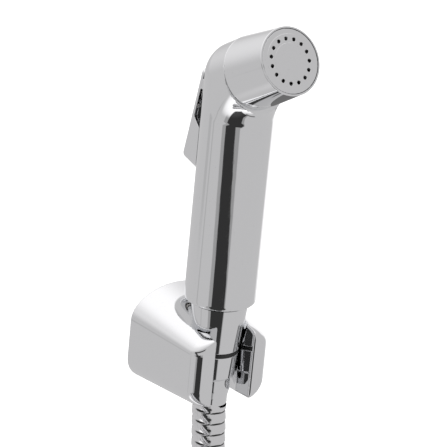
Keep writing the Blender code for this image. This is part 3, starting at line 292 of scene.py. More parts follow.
def build_room():
    """Brightness by direction: a grey room with its lights added, then darkened place by place.

    Each dark place is a mask m between 0 and 1, and leaves light * (1 - share * m).
    """
    world = bpy.data.worlds.new("studio")
    bpy.context.scene.world = world
    world.use_nodes = True
    tree = world.node_tree
    tree.nodes.clear()
    direction = add_node(tree, "ShaderNodeTexCoord").outputs["Generated"]
    split = add_node(tree, "ShaderNodeSeparateXYZ")
    tree.links.new(direction, split.inputs[0])
    x, y, z = split.outputs
    degrees = 180.0 / math.pi
    azimuth = number(tree, "MULTIPLY", number(tree, "ARCTAN2", y, x), degrees)
    rise = number(tree, "MULTIPLY", number(tree, "ARCSINE", z), degrees)

    def beside(bearing):
        """Angle to the right of a bearing, wrapped to -180 to 180 degrees."""
        away = number(tree, "SUBTRACT", azimuth, LENS_SIDE + bearing)
        return number(tree, "WRAP", away, 180.0, -180.0)

    def falling(value, low, high):
        """1 at the low value and 0 at the high one."""
        return ease(tree, value, low, high, 1.0, 0.0)

    def between(value, low, high, soft):
        """1 between two values, falling smoothly to 0 over a soft edge outside them."""
        return product(tree, ease(tree, value, low - soft, low), falling(value, high, high + soft))

    def window(bearing, half_width, soft, low, high, fade):
        """1 inside a window of bearings and rises."""
        return product(tree, between(beside(bearing), -half_width, half_width, soft),
                       between(rise, low, high, fade))

    def crossing(*bands):
        """1 where bands cross, each taken along a mix of bearing and rise."""
        masks = []
        for by_bearing, by_rise, offset, low, high, soft in bands:
            mix = total(tree, offset, product(tree, ahead, by_bearing),
                        product(tree, rise, by_rise))
            masks.append(between(mix, low, high, soft))
        return product(tree, *masks)

    def nearness(bearing, height):
        """Cosine of the angle from one direction."""
        side, up = math.radians(LENS_SIDE + bearing), math.radians(height)
        made = add_node(tree, "ShaderNodeVectorMath", operation="DOT_PRODUCT")
        made.inputs[1].default_value = (math.cos(side) * math.cos(up),
                                        math.sin(side) * math.cos(up), math.sin(up))
        tree.links.new(direction, made.inputs[0])
        return made.outputs["Value"]

    # away from the ceiling's light the same height is darker
    turned_away = number(tree, "COSINE", number(tree, "DIVIDE", beside(CEILING_BEARING), degrees))
    height = number(tree, "MULTIPLY_ADD", turned_away, CEILING_LEAN,
                    number(tree, "SUBTRACT", rise, CEILING_LEAN))
    ceiling = [ease(tree, height, low, high, 0.0, gain) for low, high, gain in CEILING_STEPS]
    bearing, lift, start, full, gain = CARD
    card = product(tree, ease(tree, nearness(bearing, lift), math.cos(math.radians(start)),
                              math.cos(math.radians(full))), gain)
    low, high, gain = TABLE
    table = ease(tree, rise, low, high, gain, 0.0)
    back_light = product(tree, window(*BACK_LIGHT), BACK_LIGHT_GAIN)
    light = total(tree, ROOM_GREY, *ceiling, card, table, back_light)

    ahead = beside(0.0)
    left, right, rim = GAP_EDGES
    for low, high, left_shift, right_shift, rim_shift in GAP_BENDS:
        bend = falling(rise, low, high)
        left = number(tree, "MULTIPLY_ADD", bend, left_shift, left)
        right = number(tree, "MULTIPLY_ADD", bend, right_shift, right)
        rim = number(tree, "MULTIPLY_ADD", bend, rim_shift, rim)
    from_left = number(tree, "SUBTRACT", ahead, left)
    from_right = number(tree, "SUBTRACT", ahead, right)
    from_rim = number(tree, "SUBTRACT", from_right, rim)
    reach = product(tree, ease(tree, rise, *GAP_BOTTOM), falling(rise, *GAP_TOP))
    masks = {
        "penumbra": product(tree, ease(tree, from_left, *PENUMBRA_SOFT),
                            falling(from_right, *GAP_RIGHT_SOFT), between(rise, *PENUMBRA_RISE)),
        "rim": product(tree, ease(tree, from_left, *RIM_LEFT_SOFT),
                       falling(from_rim, *GAP_RIGHT_SOFT), reach),
        "core": product(tree, ease(tree, from_left, *GAP_LEFT_SOFT),
                        falling(from_right, *GAP_RIGHT_SOFT), reach),
        "thin line": window(*THIN_LINE), "border": window(*BORDER), "back gap": window(*BACK_GAP),
        "bar": crossing(*BAR), "lens": crossing(*LENS), "slit": crossing(*SLIT)}
    for name, mask in masks.items():
        left_over = number(tree, "SUBTRACT", 1.0, product(tree, mask, TAKEN[name]))
        light = product(tree, light, left_over)
    light = number(tree, "MAXIMUM", light, GAP_DARK)

    room = add_node(tree, "ShaderNodeBackground", {"Color": ROOM_TINT})
    tree.links.new(light, room.inputs["Strength"])
    white = add_node(tree, "ShaderNodeBackground", {"Color": WHITE, "Strength": 1.0})
    mix = add_node(tree, "ShaderNodeMixShader")
    seen = add_node(tree, "ShaderNodeLightPath").outputs["Is Camera Ray"]
    tree.links.new(seen, mix.inputs["Fac"])
    tree.links.new(room.outputs[0], mix.inputs[1])
    tree.links.new(white.outputs[0], mix.inputs[2])
    tree.links.new(mix.outputs[0], add_node(tree, "ShaderNodeOutputWorld").inputs["Surface"])


build_room()
bpy.context.scene.view_settings.view_transform = "Standard"
print("room built; the camera sees it white")

# %% [markdown]
# ## Floor and lamp
#
# A wide soft lamp from above gives the highlights and a faint shadow on a pale floor under the
# hanging hose.  The floor is left out of the mirror images, which the room already fills.

# %% Pale floor and one soft lamp
FLOOR_DROP = 20.0 * MM
FLOOR_HALF = 2.5
FLOOR_PAINT = (0.9, 0.9, 0.9, 1.0)
FLOOR_GLOW = 0.42
LAMP_PLACE = Vector((0.25, -0.35, 1.25))
LAMP_SIZE = 0.9
LAMP_POWER = 6.0


def build_floor():
    """A square of pale paint below the lowest solid, with a glow that only the camera sees."""
    builder = bmesh.new()
    bmesh.ops.create_grid(builder, x_segments=2, y_segments=2, size=FLOOR_HALF)
    bmesh.ops.translate(builder, verts=builder.verts,
                        vec=(0.0, 0.0, solid_box[0][2] - FLOOR_DROP))
    mesh = bpy.data.meshes.new("floor")
    builder.to_mesh(mesh)
    builder.free()
    floor = bpy.data.objects.new("floor", mesh)
    bpy.context.scene.collection.objects.link(floor)
    made = bpy.data.materials.new("pale_floor")
    made.use_nodes = True
    tree = made.node_tree
    tree.nodes.clear()
    paint = add_node(tree, "ShaderNodeBsdfDiffuse", {"Color": FLOOR_PAINT})
    glow = add_node(tree, "ShaderNodeEmission", {"Color": WHITE})
    seen = add_node(tree, "ShaderNodeLightPath").outputs["Is Camera Ray"]
    tree.links.new(number(tree, "MULTIPLY", seen, FLOOR_GLOW), glow.inputs["Strength"])
    added = add_node(tree, "ShaderNodeAddShader")
    tree.links.new(paint.outputs[0], added.inputs[0])
    tree.links.new(glow.outputs[0], added.inputs[1])
    tree.links.new(added.outputs[0], add_node(tree, "ShaderNodeOutputMaterial").inputs["Surface"])
    mesh.materials.append(made)
    floor.visible_glossy = False


def build_lamp():
    """A round lamp that looks at the origin."""
    lamp = bpy.data.lights.new("soft_lamp", "AREA")
    lamp.shape = "DISK"
    lamp.size = LAMP_SIZE
    lamp.energy = LAMP_POWER
    hung = bpy.data.objects.new("soft_lamp", lamp)
    bpy.context.scene.collection.objects.link(hung)
    aim = LAMP_PLACE.to_track_quat("Z", "Y").to_matrix().to_4x4()
    hung.matrix_world = Matrix.Translation(LAMP_PLACE) @ aim
    hung.visible_glossy = False


build_floor()
build_lamp()
print("floor and lamp placed")

# %% [markdown]
# ## Shared surface effects
#
# Real plating is never a perfect mirror.  It has a faint waviness from the moulding under it, a
# light haze of dried water and a few tiny specks.  One node group gives all three as outputs, and
# every bright metal uses it with its own amounts.

# %% Group: waviness, haze and specks of a bright plated surface
WAVE_NOISE = {"Detail": 1.0, "Roughness": 0.4}
HAZE_NOISE = {"Scale": 210.0, "Detail": 6.0, "Roughness": 0.62}
HAZE_STEP = (0.42, 0.72)
SPECK_NOISE = {"Scale": 1900.0, "Detail": 2.0}
SPECK_STEP = (0.68, 0.76)


def make_plating_group():
    """Roughness between clean and hazy, a wavy normal, and a mask of specks, from three noises."""
    group, given, put = new_group(
        "plating",
        {"Wave Size": ("NodeSocketFloat", 90.0), "Wave Height": ("NodeSocketFloat", 0.02),
         "Clean": ("NodeSocketFloat", 0.03), "Hazy": ("NodeSocketFloat", 0.09)},
        {"Roughness": "NodeSocketFloat", "Normal": "NodeSocketVector", "Specks": "NodeSocketFloat"})
    spot = add_node(group, "ShaderNodeTexCoord").outputs["Object"]
    wave = add_node(group, "ShaderNodeTexNoise", WAVE_NOISE)
    group.links.new(spot, wave.inputs["Vector"])
    group.links.new(given.outputs["Wave Size"], wave.inputs["Scale"])
    bump = add_node(group, "ShaderNodeBump", {"Distance": 0.001})
    group.links.new(wave.outputs[0], bump.inputs["Height"])
    group.links.new(given.outputs["Wave Height"], bump.inputs["Strength"])
    haze = add_node(group, "ShaderNodeTexNoise", HAZE_NOISE)
    group.links.new(spot, haze.inputs["Vector"])
    share = ease(group, haze.outputs[0], *HAZE_STEP)
    spread = number(group, "SUBTRACT", given.outputs["Hazy"], given.outputs["Clean"])
    rough = number(group, "MULTIPLY_ADD", share, spread, given.outputs["Clean"])
    specks = add_node(group, "ShaderNodeTexNoise", SPECK_NOISE)
    group.links.new(spot, specks.inputs["Vector"])
    group.links.new(ease(group, specks.outputs[0], *SPECK_STEP), put.inputs["Specks"])
    group.links.new(rough, put.inputs["Roughness"])
    group.links.new(bump.outputs[0], put.inputs["Normal"])
    return group


PLATING = make_plating_group()
print("plating group with", len(PLATING.nodes), "nodes")

# %% [markdown]
# ## Finishes
#
# Chrome is almost neutral, a touch bluer than steel.  The hose has the same plating, but its
# strip is rolled, so it is hazier, and it is darker and rougher in the joints between its turns.
# Inside the handset there are turned brass, spring steel, moulded plastic and rubber.

# %% A shader and a mix of two tones


def principled(name, colour, metallic, roughness):
    """A new material with its node tree and its shader."""
    made = bpy.data.materials.new(name)
    made.use_nodes = True
    shader = made.node_tree.nodes["Principled BSDF"]
    shader.inputs["Base Color"].default_value = (*colour, 1.0)
    shader.inputs["Metallic"].default_value = metallic
    shader.inputs["Roughness"].default_value = roughness
    return made, made.node_tree, shader


def mixed_colour(tree, share, dark, bright):
    """Base colour that goes from the bright tone to the dark one with a mask."""
    made = add_node(tree, "ShaderNodeMix", data_type="RGBA")
    made.inputs[6].default_value = (*bright, 1.0)
    made.inputs[7].default_value = (*dark, 1.0)
    tree.links.new(share, made.inputs[0])
    return made.outputs[2]


print("materials are made from a shader and mixes of two tones")

# %% [markdown]
# ## Shade in hidden places
#
# A narrow seam or a closed hollow stays dark on the real handset, because little light gets in.
# Clean chrome would mirror the bright room even there, so that shade is painted into the colour.
# Painting a mask by hand would need an unwrapped mesh, so one group finds three such places by
# their position on the handset.

# %% Group: shade in the seam, behind the lever and in the seat
# Pairs are (limit, soft edge); the seam's band also has its depth below the seam first.
SEAM_SHADE = (0.60 * MM, 0.55 * MM, 0.10 * MM)
SEAM_RADIUS = (12.3 * MM, 0.2 * MM)
SEAM_BACK = (0.0, 4.0 * MM)
HOLLOW_BACK = (1.0 * MM, 1.0 * MM)
HOLLOW_RADIUS = (13.0 * MM, 0.3 * MM)
HOLLOW_FOOT = (50.0 * MM, 2.0 * MM)
HOLLOW_TOP = (95.0 * MM, 1.0 * MM)
HOLLOW_SHARE = 0.9
SEAT_WALL_R = 12.75 * MM
SEAT_WALL_SOFT = (0.0, 0.25 * MM)
SEAT_SHADE_TOP = (8.2 * MM, 0.4 * MM)


def make_painted_shade_group():
    """Shade where light hardly gets: in the foot's seam, behind the lever, on the seat's wall.

    Each place is a product of limits, given as (limit, soft edge), and the shade is the largest.
    Spread widens the seam's band, all the way round, for the brass that shows through it.
    """
    group, given, put = new_group(
        "joint_shade", {"Spread": ("NodeSocketFloat", 0.0), "Seat": ("NodeSocketFloat", 0.0)},
        {"Shade": "NodeSocketFloat"})
    spread = given.outputs["Spread"]
    spot = add_node(group, "ShaderNodeTexCoord").outputs["Object"]
    split = add_node(group, "ShaderNodeSeparateXYZ")
    group.links.new(spot, split.inputs[0])
    x, y, z = split.outputs
    back = number(group, "SUBTRACT", y, AXIS_Y)
    radial = number(group, "SQRT",
                    number(group, "MULTIPLY_ADD", x, x, product(group, back, back)))
    height = number(group, "SUBTRACT", z, SEAM_Z)

    def under(value, limit, soft):
        """1 up to a limit, 0 past its soft edge."""
        return ease(group, value, limit, limit + soft, 1.0, 0.0)

    def over(value, limit, soft):
        """0 up to a limit, 1 past its soft edge."""
        return ease(group, value, limit, limit + soft)

    depth, half, soft = SEAM_SHADE
    away = number(group, "ABSOLUTE", number(group, "ADD", height, depth))
    away = number(group, "SUBTRACT", away, spread)
    toward_wall = number(group, "MULTIPLY_ADD", spread, -4.0, back)
    seam = product(group, under(away, half, soft), under(radial, *SEAM_RADIUS),
                   under(toward_wall, *SEAM_BACK))
    hollow = product(group, over(back, *HOLLOW_BACK), under(radial, *HOLLOW_RADIUS),
                     over(height, *HOLLOW_FOOT), under(height, *HOLLOW_TOP), HOLLOW_SHARE)
    taper = (NUT_TOP_R - NUT_LOW_R) / (-NUT_END - GAP)
    wall = number(group, "MULTIPLY_ADD", height, taper, SEAT_WALL_R)
    seat = product(group, under(number(group, "SUBTRACT", radial, wall), *SEAT_WALL_SOFT),
                   under(z, *SEAT_SHADE_TOP), given.outputs["Seat"])
    shade = number(group, "MAXIMUM", number(group, "MAXIMUM", seam, hollow), seat)
    group.links.new(shade, put.inputs["Shade"])
    return group


PAINTED_SHADE = make_painted_shade_group()
print("shade group with", len(PAINTED_SHADE.nodes), "nodes")

# %% [markdown]
# ## Metals
#
# All metals share the plating group and the shade group and differ in tone, haze and waviness.
# A coat over a rough base could stand for the plating too, but polished chrome has no base to
# see, so a plain metal that is nearly a mirror is simpler and closer.

# %% Metals: plated, cast, rolled and turned
# near-black colour of the painted shade in the seam, behind the lever and on the seat's wall
SHADED = (0.03, 0.03, 0.032)
NICKEL = (0.66, 0.65, 0.63)


def plated_metal(name, bright, speck, clean, hazy, wave, size=90.0, seat=0.0):
    """Metal with the plating's haze, waviness and specks, and painted shade where the shade group
    says so.
    """
    made, tree, shader = principled(name, bright, 1.0, clean)
    skin = add_node(tree, "ShaderNodeGroup", node_tree=PLATING)
    skin.inputs["Wave Size"].default_value = size
    skin.inputs["Wave Height"].default_value = wave
    skin.inputs["Clean"].default_value = clean
    skin.inputs["Hazy"].default_value = hazy
    tree.links.new(skin.outputs["Roughness"], shader.inputs["Roughness"])
    tree.links.new(skin.outputs["Normal"], shader.inputs["Normal"])
    # painted shade: the colour turns near-black where this group's mask is 1
    joint = add_node(tree, "ShaderNodeGroup", node_tree=PAINTED_SHADE)
    joint.inputs["Seat"].default_value = seat
    shaded = mixed_colour(tree, joint.outputs["Shade"], SHADED, bright)
    tree.links.new(mixed_colour(tree, skin.outputs["Specks"], speck, bright),
                   shaded.node.inputs[6])
    tree.links.new(shaded, shader.inputs["Base Color"])
    return made, tree, shader, skin


CHROME_TONE = (0.80, 0.805, 0.815)
CHROME = plated_metal("bright_chrome", CHROME_TONE, (0.70, 0.70, 0.71), 0.025, 0.06, 0.012)[0]
# the holder also takes painted shade on the seat's wall, at 0.9 of the group's mask
CAST_CHROME = plated_metal("cast_chrome", CHROME_TONE, (0.68, 0.68, 0.69), 0.03, 0.075, 0.02,
                           size=60.0, seat=0.9)[0]
STEEL = plated_metal("turned_steel", (0.62, 0.62, 0.64), (0.45, 0.45, 0.46), 0.18, 0.30, 0.03,
                     size=400.0)[0]
HOSE_TONE = (0.80, 0.80, 0.81)
GROOVE_DARK = (0.035, 0.035, 0.035)
BRASS_TONE = (0.42, 0.31, 0.15)
BRASS_BROWN = (0.22, 0.15, 0.07)
GROOVE_DARK_STEP = (0.15, 0.60)
GROOVE_ROUGHER = 0.25
PATCH_NOISE = {"Scale": 120.0, "Detail": 3.0}
PATCH_STEP = (0.4, 0.7)


def hose_metal():
    """Chrome that turns dark and rough where the attribute says that a joint is deep."""
    made, tree, shader, skin = plated_metal("hose_chrome", HOSE_TONE, (0.6, 0.6, 0.6),
                                            0.06, 0.14, 0.02, size=220.0)
    depth = add_node(tree, "ShaderNodeAttribute", attribute_name="joint_depth").outputs["Fac"]
    # darker and rougher in the grooves, by the depth that the attribute gives
    groove_darkening = ease(tree, depth, *GROOVE_DARK_STEP)
    tree.links.new(mixed_colour(tree, groove_darkening, GROOVE_DARK, HOSE_TONE), shader.inputs["Base Color"])
    rough = number(tree, "MULTIPLY_ADD", groove_darkening, GROOVE_ROUGHER, skin.outputs["Roughness"])
    tree.links.new(rough, shader.inputs["Roughness"])
    return made


def brass_metal():
    """Turned brass, browner in patches, with fine turning marks; nickel-plated at the foot."""
    made, tree, shader, _ = plated_metal("turned_brass", (0.78, 0.60, 0.30), (0.5, 0.36, 0.16),
                                         0.22, 0.38, 0.05, size=500.0)
    spot = add_node(tree, "ShaderNodeTexCoord").outputs["Object"]
    patch = add_node(tree, "ShaderNodeTexNoise", PATCH_NOISE)
    tree.links.new(spot, patch.inputs["Vector"])
    worn = mixed_colour(tree, ease(tree, patch.outputs[0], *PATCH_STEP), BRASS_BROWN, BRASS_TONE)
    joint = add_node(tree, "ShaderNodeGroup", node_tree=PAINTED_SHADE)
    joint.inputs["Spread"].default_value = 5.0 * MM
    shaded = mixed_colour(tree, joint.outputs["Shade"], NICKEL, BRASS_TONE)
    tree.links.new(worn, shaded.node.inputs[6])
    tree.links.new(shaded, shader.inputs["Base Color"])
    return made


HOSE_CHROME = hose_metal()
BRASS = brass_metal()
print("metals:", CHROME.name, CAST_CHROME.name, HOSE_CHROME.name, BRASS.name, STEEL.name)

# %% [markdown]
# ## Plastics and rubber
#
# The swivel ring and the strap are black plastic, the bush and the diffuser are white plastic, and
# the seals are rubber.  One colour and one roughness would look like paint.  A fine grain in the
# bump and a slow drift of the tone make each read as moulded.

# %% Plastics and rubber
GRAIN_NOISE = {"Scale": 1500.0, "Detail": 3.0}
DRIFT_NOISE = {"Scale": 140.0, "Detail": 2.0}
DRIFT_STEP = (0.35, 0.7)
SHEEN_STEP = (0.3, 0.7)
SHEEN_DRIFT = 0.06


def moulded(name, colour, deep, roughness, grain):
    """A moulded skin: a fine grain in the bump and a slow drift between two tones."""
    made, tree, shader = principled(name, colour, 0.0, roughness)
    spot = add_node(tree, "ShaderNodeTexCoord").outputs["Object"]
    fine = add_node(tree, "ShaderNodeTexNoise", GRAIN_NOISE)
    slow = add_node(tree, "ShaderNodeTexNoise", DRIFT_NOISE)
    for texture in (fine, slow):
        tree.links.new(spot, texture.inputs["Vector"])
    bump = add_node(tree, "ShaderNodeBump", {"Strength": grain, "Distance": 0.0003})
    tree.links.new(fine.outputs[0], bump.inputs["Height"])
    tree.links.new(bump.outputs[0], shader.inputs["Normal"])
    drift = slow.outputs[0]
    tree.links.new(mixed_colour(tree, ease(tree, drift, *DRIFT_STEP), deep, colour),
                   shader.inputs["Base Color"])
    tree.links.new(ease(tree, drift, *SHEEN_STEP, roughness - SHEEN_DRIFT, roughness + SHEEN_DRIFT),
                   shader.inputs["Roughness"])
    return made


BLACK_PLASTIC = moulded("black_plastic", (0.012, 0.012, 0.012), (0.007, 0.007, 0.007), 0.42, 0.15)
WHITE_PLASTIC = moulded("white_plastic", (0.82, 0.82, 0.80), (0.76, 0.76, 0.73), 0.45, 0.1)
RUBBER = moulded("nitrile_rubber", (0.030, 0.030, 0.030), (0.018, 0.018, 0.018), 0.66, 0.35)
print("plastics and rubber made")

# %% [markdown]
# ## Surfaces from grids
#
# Two shapes cover most of a turned and plated fitting: a profile turned about an axis, and a
# section carried along a path.  Both are a grid of points, so one function makes the mesh.  Its
# normals come from the formula, not from the facets, which keeps the reflections straight.

# %% Grid of points to mesh


def to_object(name, points, faces, normals, material):
    """A smooth mesh object at the origin; given normals replace those of the facets."""
    mesh = bpy.data.meshes.new(name)
    mesh.from_pydata(points.reshape(-1, 3), [], faces)
    mesh.materials.append(material)
    mesh.shade_smooth()
    if normals is not None:
        mesh.normals_split_custom_set_from_vertices(normals.reshape(-1, 3))
    made = bpy.data.objects.new(name, mesh)
    bpy.context.scene.collection.objects.link(made)
    return made


def grid_faces(rows, columns, close_rows):
    """Quads between neighbours of a grid whose columns go round and close."""
    row_count = rows if close_rows else rows - 1
    i, j = np.meshgrid(np.arange(row_count), np.arange(columns), indexing="ij")
    right = (j + 1) % columns
    down = (i + 1) % rows
    corners = (i * columns + j, down * columns + j, down * columns + right, i * columns + right)
    return np.stack(corners, axis=-1).reshape(-1, 4)


def capped_faces(rows, columns):
    """Quads of an open tube, with one many-sided face at each end."""
    last = (rows - 1) * columns
    caps = [list(range(columns)), list(range(last, last + columns))[::-1]]
    return grid_faces(rows, columns, False).tolist() + caps


def face_outward(made):
    """Turn the faces of a closed mesh so that they point outward."""
    builder = bmesh.new()
    builder.from_mesh(made.data)
    bmesh.ops.recalc_face_normals(builder, faces=builder.faces)
    builder.to_mesh(made.data)
    builder.free()
    return made


def placed(points, place):
    """Points turned and moved by a matrix."""
    matrix = np.array(place)
    return points @ matrix[:3, :3].T + matrix[:3, 3]


def turned_by(directions, place):
    """Directions turned by a matrix, but not moved."""
    return directions @ np.array(place)[:3, :3].T


def dress(made, body, slot, *nodes):
    """Ride on a body and stand for solids; the slot is not used."""
    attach(made, body)
    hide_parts(*nodes)
    return made


print("a tube of 3 rings with 8 points has", len(grid_faces(3, 8, False)), "quads")

# %% [markdown]
# ## Turned pieces
#
# The sleeve, the nut, the cone and the ferrules are lathe work: a profile turned about an axis.
# Every real edge is broken, and on chrome that tiny round is the bright line one sees, so each
# corner of a profile gets its own radius.

# %% Rounding a profile and turning it


def round_corners(corners, radii, steps=6):
    """Each corner becomes an arc tangent to both sides.

    The arc starts r * tan(turn / 2) before the corner, at most 0.45 of the shorter side, and the
    normal sweeps evenly from one side's normal to the next.  Sides run outer side down first, so
    the normal lies to the left of the way along them.
    """
    corners = np.asarray(corners, float)
    before = np.roll(corners, 1, axis=0)
    after = np.roll(corners, -1, axis=0)
    way_in = corners - before
    way_out = after - corners
    length_in = np.linalg.norm(way_in, axis=1)
    length_out = np.linalg.norm(way_out, axis=1)
    way_in = way_in / length_in[:, None]
    way_out = way_out / length_out[:, None]
    cross = way_in[:, 0] * way_out[:, 1] - way_in[:, 1] * way_out[:, 0]
    turn = np.arctan2(cross, (way_in * way_out).sum(1))
    radii = np.broadcast_to(np.asarray(radii, float), len(corners))
    tangent = np.minimum(radii * np.tan(np.abs(turn) / 2), 0.45 * np.minimum(length_in, length_out))
    radius = tangent / np.tan(np.abs(turn) / 2)
    share = np.linspace(0.0, 1.0, steps + 1)[None, :]
    normal_in = np.stack((-way_in[:, 1], way_in[:, 0]), axis=1)
    start = corners - way_in * tangent[:, None]
    centre = start - normal_in * (radius * -np.sign(turn))[:, None]
    angle = np.arctan2(normal_in[:, 1], normal_in[:, 0])[:, None] + turn[:, None] * share
    normals = np.stack((np.cos(angle), np.sin(angle)), axis=-1)
    points = centre[:, None, :] + normals * (radius * -np.sign(turn))[:, None, None]
    return points.reshape(-1, 2), normals.reshape(-1, 2)


def turned(name, corners, radii, place, material, around=128):
    """A rounded profile of (radius, height) turned about the place's Z axis.

    Point = (r cos t, r sin t, h) and normal = (n cos t, n sin t, m), both then placed.
    """
    t = np.arange(around) * 2 * np.pi / around
    circle = np.stack((np.cos(t), np.sin(t)), axis=-1)

    def swept(section):
        """Each (radius, height) pair carried round the circle."""
        along = np.broadcast_to(section[:, None, 1:], (len(section), around, 1))
        return np.concatenate((section[:, None, :1] * circle[None], along), axis=-1)

    points, normals = round_corners(corners, radii)
    return to_object(name, placed(swept(points), place), grid_faces(len(points), around, True),
                     turned_by(swept(normals), place), material)


def solid_turned(name, corners, radii, place, material, around=96):
    """A turned piece with no bore: its profile closes along a hair-thin line at the axis."""
    hair = 0.02 * MM
    outside = [corner for corner in corners if corner[0] > hair]
    corners = [(hair, corners[0][1]), *outside, (hair, corners[-1][1])]
    radii = [0.0, *list(radii)[1:-1], 0.0]
    return turned(name, corners, radii, place, material, around)


def axis_place(height=0.0):
    """On the handle's axis, at a height above the seam."""
    return Matrix.Translation((0.0, AXIS_Y, SEAM_Z + height))


def head_place():
    """At the bend, with Z along the head."""
    return axis_place(BEND_HEIGHT) @ Matrix.Rotation(math.pi / 2 - HEAD_RISE, 4, "X")


def stem_place():
    """At the valve's height, with Z pointing back, toward the lever."""
    return axis_place(STEM_HEIGHT) @ Matrix.Rotation(-math.pi / 2, 4, "X")


sample = round_corners([(2.0, 1.0), (2.0, 0.0), (1.0, 0.0), (1.0, 1.0)], 0.2)[0]
print("a section with 4 corners gets", len(sample), "points, out to", round(sample[:, 0].max(), 3))

# %% [markdown]
# ## Sleeve
#
# The sleeve screws onto the barrel and holds the spray plate.  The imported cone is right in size,
# but its facets would break the mirror image, so it is turned again from a rounded profile.

# %% Sleeve of the head
SLEEVE_GAP = 0.15 * MM
RIM_WIDTH = 0.75 * MM
NOSE_PLAY = 0.2 * MM


def make_sleeve():
    """Cone outside; inside, from the front: the plate's recess, a ledge, and the nose's socket."""
    start = SLEEVE_START + SLEEVE_GAP
    rim = FACE_R - RIM_WIDTH
    ledge = FACE_AT - 3.2 * MM
    hole, under_ledge = rim - 2.0 * MM, ledge - 3.0 * MM
    socket = NOSE_R + NOSE_PLAY
    neck, shoulder = socket - 0.7 * MM, NOSE_END + 0.9 * MM
    corners = [(FACE_R, FACE_AT), (BARREL_R, start), (socket, start), (socket, shoulder),
               (neck, shoulder), (neck, under_ledge), (hole, under_ledge), (hole, ledge),
               (rim, ledge), (rim, FACE_AT)]
    radii = np.array([0.68, 0.32, 0.1, 0.1, 0.1, 0.1, 0.1, 0.1, 0.1, 0.06]) * MM
    return turned("sleeve_shell", corners, radii, head_place(), CHROME, 160)


dress(make_sleeve(), "holder_and_handset", "chrome", "head_sleeve")
print("sleeve turned")

# %% [markdown]
# ## Nut, swivel and neck
#
# The union nut holds the hose on the handset and also sits in the holder.  Below it a black ring
# and a cone let the hose turn, and a pressed neck grips the strip.  A cylinder with a bevel could
# stand for each, but these have different rounds at each edge, so each is one turned profile.

# %% Nut, swivel ring, swivel cone and ferrule


def make_nut():
    """Cone outside; inside, from the top: the thread, the tail's flange seat and its bore."""
    thread_r, seat_r, bore_r = 10.6 * MM, 9.4 * MM, 7.7 * MM
    mouth = -8.2 * MM - GAP
    washer, flange = 1.8 * MM, 2.9 * MM
    ledge = mouth - washer - flange
    corners = [(NUT_TOP_R, -GAP), (NUT_LOW_R, NUT_END), (bore_r, NUT_END), (bore_r, ledge),
               (seat_r, ledge), (seat_r, mouth), (thread_r, mouth), (thread_r, -GAP)]
    radii = np.array([0.22, 0.40, 0.2, 0.1, 0.1, 0.1, 0.1, 0.2]) * MM
    print(f"nut ends {(nut_low.z - SEAM_Z) * 1000:.1f} mm below the seam")
    return turned("union_nut", corners, radii, axis_place(), CHROME, 144)


dress(make_nut(), "holder_and_handset", "chrome", "cone_nut")

RING_TOP = -21.7 * MM
RING_LOW = -23.2 * MM
RING_R = 9.95 * MM
RING_BORE_R = 7.7 * MM
RING_OVER = 0.15 * MM
NECK_TOP = -34.6 * MM
NECK_END = -47.0 * MM


def make_swivel_parts():
    """A black ring, a little taller than its groove, and the cone that turns below it."""
    top, low = RING_TOP + RING_OVER, RING_LOW - RING_OVER
    band = [(RING_R, top), (RING_R, low), (RING_BORE_R, low), (RING_BORE_R, top)]
    ring = turned("swivel_band", band, 0.22 * MM, axis_place(), BLACK_PLASTIC, 128)
    dress(ring, "holder_and_handset", "black_plastic", "swivel_ring")
    wide, narrow, bore = 9.9 * MM, 9.1 * MM, 7.65 * MM
    start, foot, chamfer = RING_LOW - 0.2 * MM, NECK_TOP + 0.2 * MM, 0.9 * MM
    cone = [(wide, start), (narrow, foot + chamfer), (narrow - chamfer, foot), (bore, foot),
            (bore, start)]
    radii = np.array([0.30, 0.12, 0.12, 0.08, 0.1]) * MM
    dress(turned("swivel_shell", cone, radii, axis_place(), CHROME, 128), "hose_side", "chrome",
          "swivel_cone")


make_swivel_parts()


def make_ferrule(name, top, bottom, place, material):
    """A crimped neck: a plain wide band, a soft step where it is pressed in, and a narrow band."""
    length = top - bottom
    wide, narrow, bore = 7.7 * MM, 7.1 * MM, 5.5 * MM
    corners = [(wide, top), (wide, top - 0.45 * length), (narrow, top - 0.72 * length),
               (narrow, bottom), (bore, bottom), (bore, top)]
    radii = np.array([0.5, 2.5, 2.5, 0.3, 0.1, 0.1]) * MM
    return turned(name, corners, radii, place, material, 112)


neck = make_ferrule("hose_neck", NECK_TOP, NECK_END, axis_place(), CHROME)
dress(neck, "hose_side", "chrome", "hose_ferrule")
print("nut, swivel and neck turned")

# %% [markdown]
# ## Sculpted pieces
#
# The handle with its bend, the lever, the holder and the drilled face aren't lathe work.  Each is
# written as a field: a formula that is negative inside the metal, zero on its skin and positive
# outside.  A fine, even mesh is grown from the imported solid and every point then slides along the
# field's slope to the skin.  Joining and cutting fields with a small radius rounds every edge.

# %% Joining, cutting and sliding to the skin


def meet(first, second, radius):
    """Both at once (the larger value), with the edge rounded to a radius.

    Where both are closer than the radius: hypot(a + r, b + r) - r, and the larger elsewhere.
    """
    a = np.maximum(first + radius, 0.0)
    b = np.maximum(second + radius, 0.0)
    rounded = np.hypot(a, b) - radius
    return np.where((first > -radius) & (second > -radius), rounded, np.maximum(first, second))


def cut(solid, tool, radius):
    """The solid without the tool, with a rounded edge."""
    return meet(solid, -tool, radius)


def join(first, second, radius):
    """Either one, with the crease filled to a radius."""
    return -meet(-first, -second, radius)


def smooth(share):
    """The soft step 3 s^2 - 2 s^3 of a share from 0 to 1."""
    return share * share * (3.0 - 2.0 * share)


def inside_corner(across, along, radius):
    """Distance from a round corner: hypot where both are past its centre, else the larger."""
    return (np.hypot(np.maximum(across, 0.0), np.maximum(along, 0.0))
            + np.minimum(np.maximum(across, along), 0.0) - radius)


def slope(field, points, probe=0.02 * MM):
    """The field's gradient by central differences."""
    columns = []
    for axis in range(3):
        step = np.zeros(3)
        step[axis] = probe
        columns.append((field(points + step) - field(points - step)) / (2 * probe))
    return np.stack(columns, axis=1)


